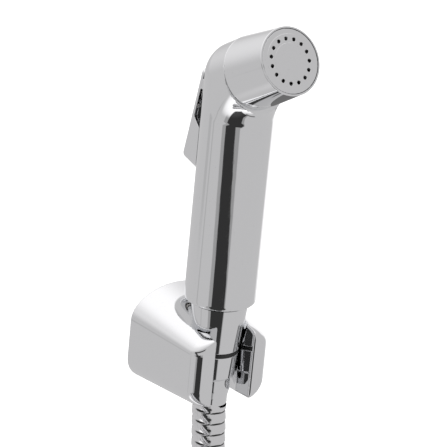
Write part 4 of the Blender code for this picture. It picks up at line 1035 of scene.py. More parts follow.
def slide_to_skin(field, points, rounds=7, reach=0.4 * MM):
    """Newton's steps: each point moves along the slope by value / slope^2, at most the reach."""
    for _ in range(rounds):
        steep = slope(field, points)
        size = np.maximum((steep ** 2).sum(1), 1e-6)
        move = -(field(points) / size)[:, None] * steep
        far = np.linalg.norm(move, axis=1)
        move *= np.minimum(1.0, reach / np.maximum(far, 1e-12))[:, None]
        points = points + move
    return points


sunk = meet(np.zeros(1), np.zeros(1), 1.0 * MM)[0]
print(f"where two skins cross, an edge of 1 mm lies {sunk * 1000:.2f} mm further in")

# %% [markdown]
# ## From a solid to its skin
#
# A field alone has no mesh.  A mesh could be grown on a grid of the field's values, but thin walls
# would need a very fine one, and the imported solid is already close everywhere.  So the solid is
# remeshed into even squares, and each point slides the last fraction of a millimetre.

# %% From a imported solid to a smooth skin


def sculpted(name, node, voxel, field, material, outer, crisp):
    """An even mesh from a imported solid, slid to a field's skin, with the field's own normals.

    Points nearer than a crisp edge's width to the outer skin take that skin's normal instead, so
    a mirror stays smooth right up to a cut edge.
    """
    builder = bmesh.new()
    builder.from_mesh(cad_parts[node].data)
    bmesh.ops.remove_doubles(builder, verts=builder.verts, dist=1e-6)
    mesh = bpy.data.meshes.new(name + "_rough")
    builder.to_mesh(mesh)
    builder.free()
    rough = bpy.data.objects.new(name + "_rough", mesh)
    bpy.context.scene.collection.objects.link(rough)
    remesh = rough.modifiers.new("even", "REMESH")
    remesh.mode = "VOXEL"
    remesh.voxel_size = voxel
    even = rough.evaluated_get(bpy.context.evaluated_depsgraph_get()).to_mesh()
    points = np.empty(len(even.vertices) * 3)
    even.vertices.foreach_get("co", points)
    loops = np.empty(len(even.loops), int)
    even.loops.foreach_get("vertex_index", loops)
    faces = loops.reshape(-1, 4)
    bpy.data.objects.remove(rough)
    points = slide_to_skin(field, points.reshape(-1, 3))
    steep = slope(field, points)
    near = np.abs(outer(points)) < crisp
    steep[near] = slope(outer, points[near])
    normals = steep / np.maximum(np.linalg.norm(steep, axis=1), 1e-9)[:, None]
    print(f"{name}: {len(points)} points, worst distance "
          f"{np.abs(field(points)).max() * 1000:.3f} mm from its skin")
    return to_object(name, points, faces, normals, material)


print("meshes are grown from", len(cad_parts), "packed solids where a field needs one")

# %% [markdown]
# ## Handset body
#
# The handle is a round bar that turns into the head over a ball of the same size.  At the front
# the crook has a soft fillet that fades out toward the back.  The lever's pocket, the pin boss
# and the nose under the sleeve are cut and joined as fields.

# %% Skin of the handset: bar, ball and barrel


def handset_coordinates(points):
    """Across, backward from the handle axis, and height above the seam."""
    return points[:, 0], points[:, 1] - AXIS_Y, points[:, 2] - SEAM_Z


def head_coordinates(points):
    """Along the head axis from the bend, and distance from that axis."""
    x, back, height = handset_coordinates(points)
    rise = height - BEND_HEIGHT
    along = -back * math.cos(HEAD_RISE) + rise * math.sin(HEAD_RISE)
    off = np.stack((x, back + along * math.cos(HEAD_RISE), rise - along * math.sin(HEAD_RISE)))
    return along, np.sqrt((off ** 2).sum(0))


def handset_skin(points, inset):
    """Bar, ball and barrel, joined as min(a, b) with a fillet r where both are nearer than r:
    r - hypot(r - a, r - b), r fading in from the bend's centre toward the crook."""
    x, back, height = handset_coordinates(points)
    along, radial = head_coordinates(points)
    rise = height - BEND_HEIGHT
    lip = np.clip(1.0 - height / FOOT_LIP, 0.0, 1.0)
    bar_r = FOOT_R + (HANDLE_R - FOOT_R) * np.maximum(1.0 - lip ** 4, 1e-6) ** 0.25
    if inset:  # the wall's inner side has no lip
        bar_r = HANDLE_R
    ball = np.sqrt(x ** 2 + back ** 2 + rise ** 2) - HANDLE_R + inset
    bar = np.hypot(x, back) - bar_r + inset
    barrel_r = HANDLE_R + (BARREL_R - HANDLE_R) * np.clip(along / SLEEVE_START, 0.0, 1.0)
    barrel = radial - barrel_r + inset
    bar = np.where(rise > 0.0, ball, bar)
    barrel = np.where(along < 0.0, ball, barrel)
    crook = Vector((0.0, math.cos(HEAD_RISE), math.sin(HEAD_RISE) - 1.0)).normalized()
    share = np.clip((-back * crook.y + rise * crook.z) / (0.8 * HANDLE_R), 0.0, 1.0)
    fillet = CROOK_FILLET * smooth(share)
    filled = fillet - np.hypot(np.maximum(fillet - bar, 0.0), np.maximum(fillet - barrel, 0.0))
    return np.where((bar < fillet) & (barrel < fillet), filled, np.minimum(bar, barrel))


beside_handle = np.array([[HANDLE_R, AXIS_Y, SEAM_Z + BEND_HEIGHT / 2]])
print(f"field on the side of the handle: {handset_skin(beside_handle, 0.0)[0] * 1000:.3f} mm")

# %% [markdown]
# ## Pocket and boss
#
# The lever sinks into a pocket in the handle's back and turns on a boss at its top.  Both are
# small fields of their own, so the shell is cut by one and joined to the other.

# %% Pocket and boss of the lever
POCKET_HALF = LEVER_HALF_W + 0.45 * MM
POCKET_FLOOR = 8.8 * MM
POCKET_DEEP = 7.5 * MM
POCKET_STEP = PIVOT_HEIGHT - 20.3 * MM
LEVER_BELOW = 37.0 * MM


def pocket_field(points, grow):
    """A box open to the back, whose floor drops by a small step halfway down."""
    x, back, height = handset_coordinates(points)
    top = BEND_HEIGHT - 0.1 * MM + grow
    foot = PIVOT_HEIGHT - LEVER_BELOW * math.cos(LEVER_TILT) - 1.0 * MM - grow
    drop = np.clip((POCKET_STEP + 1.0 * MM - height) / (2.0 * MM), 0.0, 1.0)
    floor = POCKET_FLOOR - (POCKET_FLOOR - POCKET_DEEP) * drop - grow
    tall = meet(height - top, foot - height, 0.4 * MM)
    wide = meet(np.abs(x) - POCKET_HALF - grow, floor - back, 0.5 * MM)
    return meet(tall, wide, 0.5 * MM)


def boss_field(points):
    """The pin's boss: a block whose back is rounded about the pin."""
    x, back, height = handset_coordinates(points)
    eye_r, half_height, half_width, sunk = PIN_R + 0.8 * MM, 2.6 * MM, 3.5 * MM, 0.9 * MM
    web = np.maximum(np.abs(height - PIVOT_HEIGHT) - half_height, back - PIVOT_BACK)
    eye = np.hypot(back - PIVOT_BACK, height - PIVOT_HEIGHT) - eye_r
    boss = meet(join(web, eye, 0.6 * MM), np.abs(x) - half_width, 0.3 * MM)
    return meet(boss, POCKET_FLOOR - sunk - back, 0.1 * MM)


print(f"pocket is {POCKET_HALF * 2000:.1f} mm wide, its floor {POCKET_FLOOR * 1000:.1f} mm back")

# %% [markdown]
# ## The whole body
#
# The body is one moulding: a hollow shell that ends in a nose under the sleeve, with holes for the
# pin and the gland.  All parts of the formula are put together here, and the points near the outer
# skin take its normals, so that the chrome stays smooth up to every edge.

# %% Body: shell, hollow, nose and holes
PIN_PLAY = 0.15 * MM
GLAND_HOLE_R = 4.4 * MM
GLAND_FROM, GLAND_TO = 6.0 * MM, 9.8 * MM
GROOVE_DEEP, GROOVE_HALF = 1.0 * MM, 0.9 * MM


def body_field(points):
    """Shell and nose, hollowed, then cut by the pocket, by two holes and by a ring groove."""
    x, back, height = handset_coordinates(points)
    along, radial = head_coordinates(points)
    shell = meet(handset_skin(points, 0.0), along - SLEEVE_START, 0.22 * MM)
    nose = meet(radial - NOSE_R, np.maximum(along - NOSE_END, -along), 0.2 * MM)
    outer = meet(np.minimum(shell, nose), -height, 0.12 * MM)
    inside = np.maximum(handset_skin(points, HANDLE_WALL), along - SLEEVE_START + 1.0 * MM)
    bore = np.maximum(radial - NOSE_BORE_R, -along)
    hollow = np.maximum(np.minimum(inside, bore), -pocket_field(points, 1.8 * MM))
    body = cut(cut(outer, hollow, 0.1 * MM), pocket_field(points, 0.0), 0.35 * MM)
    body = join(body, boss_field(points), 0.25 * MM)
    pin = np.hypot(back - PIVOT_BACK, height - PIVOT_HEIGHT) - PIN_R - PIN_PLAY
    pin = np.maximum(pin, np.abs(x) - LEVER_HALF_W + 0.1 * MM)
    gland = np.hypot(x, height - STEM_HEIGHT) - GLAND_HOLE_R
    gland = np.maximum(gland, np.maximum(GLAND_FROM - back, back - GLAND_TO))
    groove = np.maximum(NOSE_R - GROOVE_DEEP - radial,
                        np.abs(along - (SLEEVE_START + NOSE_END) / 2) - GROOVE_HALF)
    return cut(cut(cut(body, pin, 0.1 * MM), gland, 0.15 * MM), groove, 0.1 * MM)


body_shell = sculpted("body_shell", "handset_body", 0.53 * MM, body_field, CHROME,
                      lambda points: handset_skin(points, 0.0), 0.12 * MM)
dress(body_shell, "holder_and_handset", "chrome", "handset_body")

# %% [markdown]
# ## Trigger lever
#
# The lever is a bent channel: a crowned back plate, two side wings that deepen below the pivot,
# and two ears that take the pin.  It leans away from the handle by the travel it has.

# %% Field of the lever


def lever_coordinates(points):
    """Across, outward from the pivot and down the lever, in the lever's own tilt."""
    x, back, height = handset_coordinates(points)
    b = back - PIVOT_BACK
    h = height - PIVOT_HEIGHT
    out = b * math.cos(LEVER_TILT) + h * math.sin(LEVER_TILT)
    down = b * math.sin(LEVER_TILT) - h * math.cos(LEVER_TILT)
    return x, out, down


LEVER_ABOVE = 6.0 * MM
LEVER_OUT = 5.2 * MM
LEVER_PLATE = 1.5 * MM
LEVER_WING = 1.5 * MM
LEVER_CROWN = 1.3 * MM
LEVER_CORNERS = (1.5 * MM, 3.6 * MM)
LEVER_WAIST = 10.0 * MM
WING_EDGE = 13.4 * MM
WING_FROM = 15.0 * MM
WING_FADE = 4.0 * MM
WING_FOOT = 2.6 * MM
EAR_R = 2.2 * MM


def lever_field(points):
    """A rounded, crowned slab over a channel, with two ears about the pin.

    The wings are a short lip at the top; they deepen over 4 mm and rise again near the foot.
    """
    x, out, down = lever_coordinates(points)
    side = np.abs(x)
    inner_side = LEVER_HALF_W - LEVER_WING
    corner = np.where(down < LEVER_WAIST, *LEVER_CORNERS)
    end = np.maximum(-LEVER_ABOVE - down, down - LEVER_BELOW)
    plan = inside_corner(side - (LEVER_HALF_W - corner), end + corner, corner)
    crown = LEVER_CROWN * (1.0 - np.clip(x / LEVER_HALF_W, -1.0, 1.0) ** 2)
    slab = meet(plan, out - LEVER_OUT - crown, 0.8 * MM)
    under = LEVER_OUT - LEVER_PLATE
    lip = under - 0.4 * MM
    fade = smooth(np.clip((down - WING_FROM) / WING_FADE, 0.0, 1.0))
    edge = (WING_EDGE - PIVOT_BACK) / math.cos(LEVER_TILT) - down * math.tan(LEVER_TILT)
    edge = edge + 0.5 * np.maximum(down - (LEVER_BELOW - WING_FOOT), 0.0)
    edge = lip + (edge - lip) * fade
    slab = meet(slab, edge - out, 0.3 * MM)
    lever = cut(slab, meet(side - inner_side, out - under, 0.4 * MM), 0.25 * MM)
    disc = np.hypot(out, down) - EAR_R
    web = np.maximum(np.abs(down) - EAR_R, np.maximum(-out, out - LEVER_OUT + 0.5 * MM))
    ear = join(disc, web, 0.3 * MM)
    ear = meet(ear, np.maximum(inner_side - side, side - LEVER_HALF_W + 0.05 * MM), 0.2 * MM)
    lever = join(lever, ear, 0.3 * MM)
    return cut(lever, np.hypot(out, down) - PIN_R - PIN_PLAY, 0.1 * MM)


lever_plate = sculpted("lever_plate", "trigger_lever", 0.24 * MM, lever_field, CHROME,
                       lever_field, 0.0)
dress(lever_plate, "trigger", "chrome", "trigger_lever")

# %% [markdown]
# ## Wall holder
#
# The holder is a cast block that tapers from the wall to its two prongs.  Its top is an arch, its
# lower edges are well rounded, and a slanted funnel leads into the conical seat for the nut.

# %% Block of the holder
HOLDER_DEPTH = 45.0 * MM
HOLDER_BOTTOM = (-20.9 * MM, -17.0 * MM)
HOLDER_CROWN = (20.9 * MM, 15.0 * MM)
HOLDER_LOW_R = (10.5 * MM, 7.4 * MM)
SIDE_TOP = 6.6 * MM
BACK_HALF = 22.6 * MM
FRONT_HALF = 18.6 * MM
FRONT_SIDE_R = 6.0 * MM


def drafted(at_wall, at_front, share):
    """A size that changes evenly from the wall to the front."""
    return at_wall + (at_front - at_wall) * share


def holder_block(points):
    """Flat bottom with round corners, drafted sides and an elliptical arch.

    Near the front the section gets narrower, so the upright corners follow a 6 mm radius, while
    the front's edges along the top and the bottom stay crisp.
    """
    x, out, z = np.abs(points[:, 0]), -points[:, 1], points[:, 2]
    share = np.clip(out / HOLDER_DEPTH, -0.05, 1.05)
    past = np.clip(out - (HOLDER_DEPTH - FRONT_SIDE_R), 0.0, 0.995 * FRONT_SIDE_R)
    inset = FRONT_SIDE_R - np.sqrt(FRONT_SIDE_R ** 2 - past ** 2)
    half = drafted(BACK_HALF, FRONT_HALF, share) - inset
    bottom = drafted(*HOLDER_BOTTOM, share)
    crown = drafted(*HOLDER_CROWN, share)
    radius = drafted(*HOLDER_LOW_R, np.clip(share, 0.0, 1.0))
    lower = inside_corner(x - (half - radius), (bottom + radius) - z, radius)
    a, b = half, crown - SIDE_TOP
    high = np.maximum(z - SIDE_TOP, 0.0)
    value = (x / a) ** 2 + (high / b) ** 2 - 1.0
    steep = 2.0 * np.sqrt((x / a ** 2) ** 2 + (high / b ** 2) ** 2) + 1e-6
    arch = np.maximum(value / np.maximum(steep, 0.5 / a), z - crown)
    ring = np.where(z > SIDE_TOP, arch, lower)
    # the inset makes the sides steep across the depth, so the distance is shortened to match
    lean = past / np.sqrt(FRONT_SIDE_R ** 2 - past ** 2)
    sideways = np.clip(x / half, 0.0, 1.0) ** 4
    ring = ring / np.sqrt(1.0 + (lean * sideways) ** 2)
    ring = meet(ring, out - HOLDER_DEPTH, 1.0 * MM)
    return meet(ring, -out, 0.3 * MM)


print(f"holder: {BACK_HALF * 2000:.1f} mm wide at the wall, {FRONT_HALF * 2000:.1f} mm in front")

# %% [markdown]
# ## Seat, funnel and slot
#
# The nut drops into the holder from above and the hose passes the slot in front.  The seat follows
# the nut's cone with a small gap.  The funnel above it leans back and gets squarer as it widens,
# which a plain cone wouldn't give, so its section goes from a circle to a rounded square.

# %% Seat, funnel and slot
SEAT_TOP = 8.5 * MM
FUNNEL_TOP = 22.0 * MM
FUNNEL_BACK = 6.5 * MM
FUNNEL_R = 16.25 * MM
SEAT_WIDER = 0.45 * MM
SEAT_WIDER_FROM = 5.0 * MM
LOWER_BORE_R = 10.3 * MM
SLOT_HALF = 9.5 * MM
SLOT_EDGE_R = 1.3 * MM
OUT = -AXIS_Y


def seat_radius(z):
    """The nut's cone with the gap all round."""
    share = (SEAM_Z - z - GAP) / (-NUT_END - GAP)
    return NUT_TOP_R - (NUT_TOP_R - NUT_LOW_R) * share + GAP


def socket_field(points):
    """Conical seat with the straight bore below it, joined to the slanted, squarer funnel."""
    x, out, z = points[:, 0], -points[:, 1], points[:, 2]
    forward = out - OUT
    radial = np.hypot(x, forward)
    cone = seat_radius(z) + 2 * GAP * np.clip((z - SEAT_TOP) / (FUNNEL_TOP - SEAT_TOP), 0.0, 1.2)
    wider = np.clip((z - SEAT_WIDER_FROM) / (SEAT_TOP - SEAT_WIDER_FROM), 0.0, 1.0) ** 2
    bore = radial - np.where(z > SEAM_Z + NUT_END, cone + wider * SEAT_WIDER, LOWER_BORE_R)
    share = np.clip((z - SEAT_TOP) / (FUNNEL_TOP - SEAT_TOP), 0.0, 1.1)
    start_r = seat_radius(SEAT_TOP) - GAP
    mouth_r = start_r + (FUNNEL_R - start_r) * share
    power = 2.0 + 2.0 * share
    over, along = np.abs(x) + 1e-9, np.abs(forward + FUNNEL_BACK * share) + 1e-9
    mouth = (over ** power + along ** power) ** (1.0 / power) - mouth_r
    mouth = np.maximum(mouth, SEAT_TOP - z)
    return join(bore, mouth, 0.5 * MM)


def slot_field(points):
    """Opening between the prongs: everything in front of the axis and inside the slot's sides."""
    return np.maximum(np.abs(points[:, 0]) - SLOT_HALF, points[:, 1] + OUT)


print(f"seat at z = 0 is {seat_radius(0.0) * 2000:.1f} mm wide, the nut {NUT_TOP_R * 2000:.1f} mm")

# %% [markdown]
# ## Back of the holder
#
# A casting is hollowed at its back so that the walls stay thin, and two screws hold it on the wall.
# Only a view from behind shows this, so a few chamfered boxes and round holes are enough.

# %% Back of the holder, and the whole casting
SCREW_HEIGHTS = (4.5 * MM, -12.5 * MM)
SCREW_R = 2.2 * MM
SCREW_HEAD_R = 4.2 * MM
SCREW_HEAD_FROM = 14.4 * MM
WEB_HALF = 7.0 * MM
POCKETS_DEEP = 15.0 * MM
POCKETS_HALF = 19.4 * MM
POCKETS_TAPER = 4.0 * MM
POCKETS_LOW, POCKETS_HIGH = -14.2 * MM, SIDE_TOP + 5.0 * MM
CUT_LOW = 4.0 * MM
CUT_ACROSS, CUT_UP = 3.5, 5.0


def back_field(points):
    """Two moulding pockets beside the centre web, and two screw holes with round heads.

    Each pocket is a box with its outer corners cut off: at 45 degrees below, and above along a
    line that goes 3.5 mm across and 5 mm down.
    """
    x, out, z = points[:, 0], -points[:, 1], points[:, 2]
    side = np.abs(x)
    half = POCKETS_HALF - POCKETS_TAPER * out / HOLDER_DEPTH
    low, high = POCKETS_LOW, POCKETS_HIGH
    chamfer_low = (side - half + low + CUT_LOW - z) / math.sqrt(2.0)
    chamfer_high = CUT_UP * (side - half) + CUT_ACROSS * (z - high) + CUT_ACROSS * CUT_UP * MM
    chamfer_high = chamfer_high / math.hypot(CUT_UP, CUT_ACROSS)
    pocket = meet(side - half, WEB_HALF - side, 0.6 * MM)
    pocket = meet(pocket, np.maximum(low - z, z - high), 0.6 * MM)
    pocket = meet(pocket, np.maximum(chamfer_low, chamfer_high), 0.6 * MM)
    pocket = meet(pocket, out - POCKETS_DEEP, 0.5 * MM)
    for height in SCREW_HEIGHTS:
        hole = np.hypot(x, z - height)
        through = np.maximum(hole - SCREW_R, out - OUT)
        head = np.maximum(hole - SCREW_HEAD_R, np.maximum(SCREW_HEAD_FROM - out, out - OUT))
        pocket = np.minimum(pocket, np.minimum(through, head))
    return pocket


def holder_field(points):
    """The block, cut by the slot with edges of 1.3 mm, by the funnel and by the back."""
    block = cut(holder_block(points), slot_field(points), SLOT_EDGE_R)
    block = cut(block, socket_field(points), 0.35 * MM)
    return cut(block, back_field(points), 0.3 * MM)


holder_casting = sculpted("holder_casting", "wall_holder", 0.385 * MM, holder_field,
                          CAST_CHROME, holder_block, 0.04 * MM)
dress(holder_casting, "holder_and_handset", "chrome", "wall_holder")

# %% [markdown]
# ## Spray face
#
# The plate has a shallow band with fifteen drilled holes.  They stay dark because one looks down
# real, deep holes, so they are cut through the plate and not painted on.

# %% Field of the drilled plate
PLATE_PLAY = 0.07 * MM
PLATE_R = FACE_R - RIM_WIDTH - PLATE_PLAY
PLATE_TOP = FACE_AT + 0.27 * MM
PLATE_THICK = 2.0 * MM
TERRACE_FALL = 0.12 * MM
TERRACE_RADII = (7.2 * MM, 10.9 * MM)
TERRACE_RAMP = 0.26 * MM
HOLE_R = 0.72 * MM
HOLE_RING_R = 9.1 * MM
HOLE_COUNT = 15


def plate_coordinates(points):
    """Places in the head's own frame, and their distance from its axis."""
    spot = placed(points, head_place().inverted())
    return spot, np.hypot(spot[:, 0], spot[:, 1])


def terraces(points):
    """The face in three low terraces, stepping down outward over smooth ramps.

    The ramps are a little steep, so the height is scaled by 0.8 to stay near a distance.
    """
    spot, radial = plate_coordinates(points)
    fall = TERRACE_FALL * sum(smooth(np.clip((radial - start) / TERRACE_RAMP, 0.0, 1.0))
                              for start in TERRACE_RADII)
    return (spot[:, 2] - PLATE_TOP + fall) * 0.8


def plate_field(points):
    """The terraces within a soft edge, and round holes folded into one sector."""
    spot, radial = plate_coordinates(points)
    disc = meet(radial - PLATE_R, terraces(points), 0.08 * MM)
    disc = meet(disc, PLATE_TOP - PLATE_THICK - spot[:, 2], 0.1 * MM)
    sector = 2 * np.pi / HOLE_COUNT
    angle = np.arctan2(spot[:, 1], spot[:, 0]) - np.pi / 2
    angle = (angle + sector / 2) % sector - sector / 2
    hole = np.hypot(radial * np.cos(angle) - HOLE_RING_R, radial * np.sin(angle)) - HOLE_R
    return cut(disc, hole, 0.06 * MM)


face_plate = sculpted("face_plate", "spray_plate", 0.148 * MM, plate_field, CHROME, terraces,
                      0.08 * MM)
dress(face_plate, "holder_and_handset", "chrome", "spray_plate")

# %% [markdown]
# ## Hose
#
# A metal shower hose is a profiled strip wound round a liner, its edges locked into each other.
# Each turn is a soft crown, and the joint between two turns is a narrow dark groove that climbs
# round the hose.  The stored length hangs in a coil below the view.

# %% Route of the hose
HOSE_R = 7.3 * MM
HOSE_SWAY = 2.6 * MM
COIL_R = 73.5 * MM
COIL_PITCH = 15.0 * MM
COIL_DROP = 153.5 * MM
COIL_TURNS = 2.25
END_RUN = 30.0 * MM
TURNS_PER_LOOP = 96


def smooth_curve(points, steps):
    """Catmull-Rom: each span blends its four nearest points with cubic weights."""
    points = np.asarray(points, float)
    padded = np.vstack((2 * points[:1] - points[1:2], points, 2 * points[-1:] - points[-2:-1]))
    p0, p1, p2, p3 = (padded[k:len(padded) - 3 + k][:, None, :] for k in range(4))
    t = (np.arange(steps) / steps)[None, :, None]
    spans = 0.5 * (2 * p1 + (p2 - p0) * t + (2 * p0 - 5 * p1 + 4 * p2 - p3) * t ** 2
                   + (3 * p1 - p0 - 3 * p2 + p3) * t ** 3)
    return np.vstack((spans.reshape(-1, 3), points[-1:]))


def hose_route():
    """Down from the neck with a slight sway, round the coil, and out along its foot."""
    top = SEAM_Z + NECK_END - GAP
    enter = SEAM_Z - COIL_DROP
    sway = np.array([(0.0, 0.0), (0.03, 0.0), (0.28, 0.8), (0.5, 1.0), (1.0, 1.0)])
    hang = np.stack((HOSE_SWAY * sway[:, 1], np.full(5, AXIS_Y), top + (enter - top) * sway[:, 0]),
                    axis=1)
    turn = np.linspace(0.0, COIL_TURNS, int(COIL_TURNS * TURNS_PER_LOOP) + 1)
    angle = -2 * np.pi * turn
    coil = np.stack((HOSE_SWAY - COIL_R + COIL_R * np.cos(angle), AXIS_Y - turn * COIL_PITCH,
                     enter + COIL_R * np.sin(angle)), axis=1)
    foot = coil[-1] + np.array([[-END_RUN, 0.0, 0.0]])
    return np.vstack((smooth_curve(hang, 12)[:-1], coil, foot))


def run_along(path):
    """Length of the path up to each of its points."""
    return np.concatenate(([0.0], np.cumsum(np.linalg.norm(np.diff(path, axis=0), axis=1))))


def sampled(at, knots, values):
    """Each column of the values, read between the knots."""
    return np.stack([np.interp(at, knots, column) for column in values.T], axis=1)


def spokes_round(side, up, count):
    """Unit directions round a path: cos(t) side + sin(t) up."""
    t = np.arange(count) * 2 * np.pi / count
    return (np.cos(t)[None, :, None] * side[:, None, :]
            + np.sin(t)[None, :, None] * up[:, None, :])


route = hose_route()
hose_run = run_along(route)
hose_length = hose_run[-1]
print(f"hose is {hose_length * 1000:.0f} mm long")

# %% [markdown]
# ## Wound strip
#
# The strip could be a bent pipe with a bump map, but the grooves are seen in outline at the hose's
# edge.  So each turn is real: ten rows of points a pitch, closer together in the groove, which
# climbs one pitch each time it goes round.

# %% Wound strip along the route
STRIP_PITCH = 5.2 * MM
SAMPLES = (0.00, 0.12, 0.28, 0.46, 0.62, 0.72, 0.78, 0.84, 0.90, 0.95)
ROUND = 34
DIRECTION_STEPS = 2400
CROWN_SHARE = 0.80
ARCH_FALL = 0.30 * MM
ARCH_LIMIT = 0.25 * MM
GROOVE_DEPTH = 0.50 * MM


def strip_profile(u):
    """Depth below the crown by the share of a pitch: a gentle arch, then a groove.

    The arch is highest at 0.42 of a pitch and falls by at most 0.25 mm; the groove is a cosine
    bell, 0.50 mm deeper.
    """
    arch = ARCH_FALL * ((u - 0.42) / 0.42) ** 2
    share = np.clip((u - CROWN_SHARE) / (1.0 - CROWN_SHARE), 0.0, 1.0)
    bell = 0.5 - 0.5 * np.cos(2 * np.pi * share)
    arch = np.where(u < CROWN_SHARE, np.minimum(arch, ARCH_LIMIT), ARCH_LIMIT)
    return arch + GROOVE_DEPTH * bell, bell


def make_hose():
    """Point = centre + r(u) (cos t side + sin t up); the groove climbs one pitch each turn.

    Normal = along x around, turned outward where the rows of a sharp bend run backward.
    """
    pitches = int(round(hose_length / STRIP_PITCH))
    share = (np.arange(pitches)[:, None] + np.array(SAMPLES)[None, :]).ravel() / pitches
    share = np.append(share, 1.0)
    centre = sampled(share * hose_length, hose_run, route)
    steps = np.linspace(0.0, 1.0, DIRECTION_STEPS)
    tangent = np.gradient(sampled(steps * hose_length, hose_run, route), axis=0)
    tangent = sampled(share, steps, tangent)
    tangent /= np.linalg.norm(tangent, axis=1)[:, None]
    side = np.cross(tangent, np.array([0.0, 1.0, 0.0]))
    side /= np.linalg.norm(side, axis=1)[:, None]
    spokes = spokes_round(side, np.cross(side, tangent), ROUND)
    climb = (share * pitches)[:, None] - (np.arange(ROUND) / ROUND)[None, :]
    depth, bell = strip_profile(climb % 1.0)
    grid = centre[:, None, :] + (HOSE_R - depth)[:, :, None] * spokes
    along = np.gradient(grid, axis=0)
    around = np.roll(grid, -1, axis=1) - np.roll(grid, 1, axis=1)
    normals = np.cross(along, around)
    normals /= np.linalg.norm(normals, axis=2)[:, :, None]
    normals *= np.where((normals * spokes).sum(2) < 0, -1.0, 1.0)[:, :, None]
    least = (normals * spokes).sum(2).min()
    print(f"{pitches} turns of strip; normals face outward by {least:.2f} or more")
    hose = to_object("metal_hose", grid, capped_faces(len(share), ROUND), normals, HOSE_CHROME)
    attribute = hose.data.attributes.new("joint_depth", "FLOAT", "POINT")
    attribute.data.foreach_set("value", bell.astype(np.float32).ravel())
    return hose


metal_hose = make_hose()
dress(metal_hose, "hose_side", "chrome", "hose", "hose_coil", "hose_end")
print("hose has", len(metal_hose.data.polygons), "faces")

# %% [markdown]
# ## Far end of the hose
#
# The stored end has the same kind of crimped neck, a flanged brass tail and a hexagonal nut that
# spins on it.  The nut's corners are turned down and its bore is threaded.

# %% Neck, tail and washer
END_Y = AXIS_Y - COIL_TURNS * COIL_PITCH
END_Z = SEAM_Z - COIL_DROP - COIL_R
END_X = HOSE_SWAY - COIL_R
TAIL_BORE_R = 4.0 * MM
TAIL_SHANK_R = 6.5 * MM
FLANGE_R = 9.2 * MM
FLANGE_THICK = 1.8 * MM
WASHER_HOLE_R = 6.0 * MM
WASHER_THICK = 1.8 * MM
SUPPLY_NECK = 12.0 * MM
SUPPLY_LENGTH = 16.0 * MM


def supply_place():
    """At the end of the coil, with Z along the last straight run."""
    return Matrix.Translation((END_X, END_Y, END_Z)) @ Matrix.Rotation(-math.pi / 2, 4, "Y")


def make_supply_parts():
    """Neck, tail and washer in their order along the hose; returns where the nut starts."""
    start = END_RUN + GAP
    stop = start + SUPPLY_NECK
    flip = supply_place() @ Matrix.Rotation(math.pi, 4, "X")
    dress(make_ferrule("supply_neck", -start, -stop, flip, CHROME), "hose_side", "chrome",
          "supply_ferrule")
    nut_start = stop + 7.0 * MM
    flange, end = nut_start + 2.8 * MM, stop + 0.2 * MM
    top = flange + FLANGE_THICK
    corners = [(FLANGE_R, top), (FLANGE_R, flange), (TAIL_SHANK_R, flange), (TAIL_SHANK_R, end),
               (TAIL_BORE_R, end), (TAIL_BORE_R, top)]
    tail = turned("flanged_tail", corners, 0.25 * MM, supply_place(), BRASS, 96)
    dress(tail, "hose_side", "brass", "supply_tail")
    low = top + 0.2 * MM
    high = low + WASHER_THICK
    washer = [(FLANGE_R, high), (FLANGE_R, low), (WASHER_HOLE_R, low), (WASHER_HOLE_R, high)]
    ring = turned("end_washer", washer, 0.35 * MM, supply_place(), RUBBER, 80)
    dress(ring, "hose_side", "rubber", "supply_washer")
    return nut_start


NUT_START = make_supply_parts()
print(f"the far nut starts {NUT_START * 1000:.1f} mm past the coil")

# %% [markdown]
# ## Hexagonal nut
#
# The far nut is turned by a spanner, so it has six flats, and its thread shows in its open end.
# Flats, turned-down corners and thread are one field, which rounds every edge where they meet.

# %% Hexagonal nut
FLATS_HALF = 12.0 * MM
THREAD_R = 10.15 * MM
THREAD_WAVE = 0.22 * MM
THREAD_PITCH = 1.814 * MM
THREAD_FROM = 2.6 * MM
NUT_HOLE_R = 6.7 * MM


def hexagon_field(points):
    """Six flats, corners turned down by a cone at each end, and a threaded bore.

    The thread is a wave of 0.22 mm to each side that climbs one pitch of 1.814 mm a turn.
    """
    spot = placed(points, supply_place().inverted())
    x, y, z = spot[:, 0], spot[:, 1], spot[:, 2] - NUT_START
    radial = np.hypot(x, y)
    angle = np.arctan2(y, x)
    sector = np.pi / 3
    hexagon = radial * np.cos((angle % sector) - sector / 2) - FLATS_HALF
    ends = np.maximum(-z, z - SUPPLY_LENGTH)
    cone = (radial - FLATS_HALF + (ends + 0.1 * MM) * 1.1) / 1.5
    nut = meet(meet(hexagon, ends, 0.25 * MM), cone, 0.2 * MM)
    wave = THREAD_WAVE * np.cos(2 * np.pi * (z / THREAD_PITCH - angle / (2 * np.pi)))
    bore = np.maximum(radial - THREAD_R - wave, THREAD_FROM - z)
    return cut(nut, np.minimum(bore, radial - NUT_HOLE_R), 0.15 * MM)


hex_nut = sculpted("hexagon_nut", "supply_nut", 0.28 * MM, hexagon_field, CHROME,
                   hexagon_field, 0.0)
dress(hex_nut, "supply_nut", "chrome", "supply_nut")

# %% [markdown]
# ## Coil tie
#
# A flat strap goes round the stored turns.  It is a loop swept along a rounded rectangle, with a
# soft, slightly domed outside.

# %% Strap round the coil
TIE_THICK = 1.1 * MM
TIE_STEPS = 120
TIE_SECTION = 24


def super_ellipse(wide, high, wide_power, high_power, count):
    """Points (a sign(cos) |cos|^p, b sign(sin) |sin|^q) round a rectangle with soft corners."""
    t = np.arange(count) * 2 * np.pi / count
    return (wide * np.sign(np.cos(t)) * np.abs(np.cos(t)) ** wide_power,
            high * np.sign(np.sin(t)) * np.abs(np.sin(t)) ** high_power)


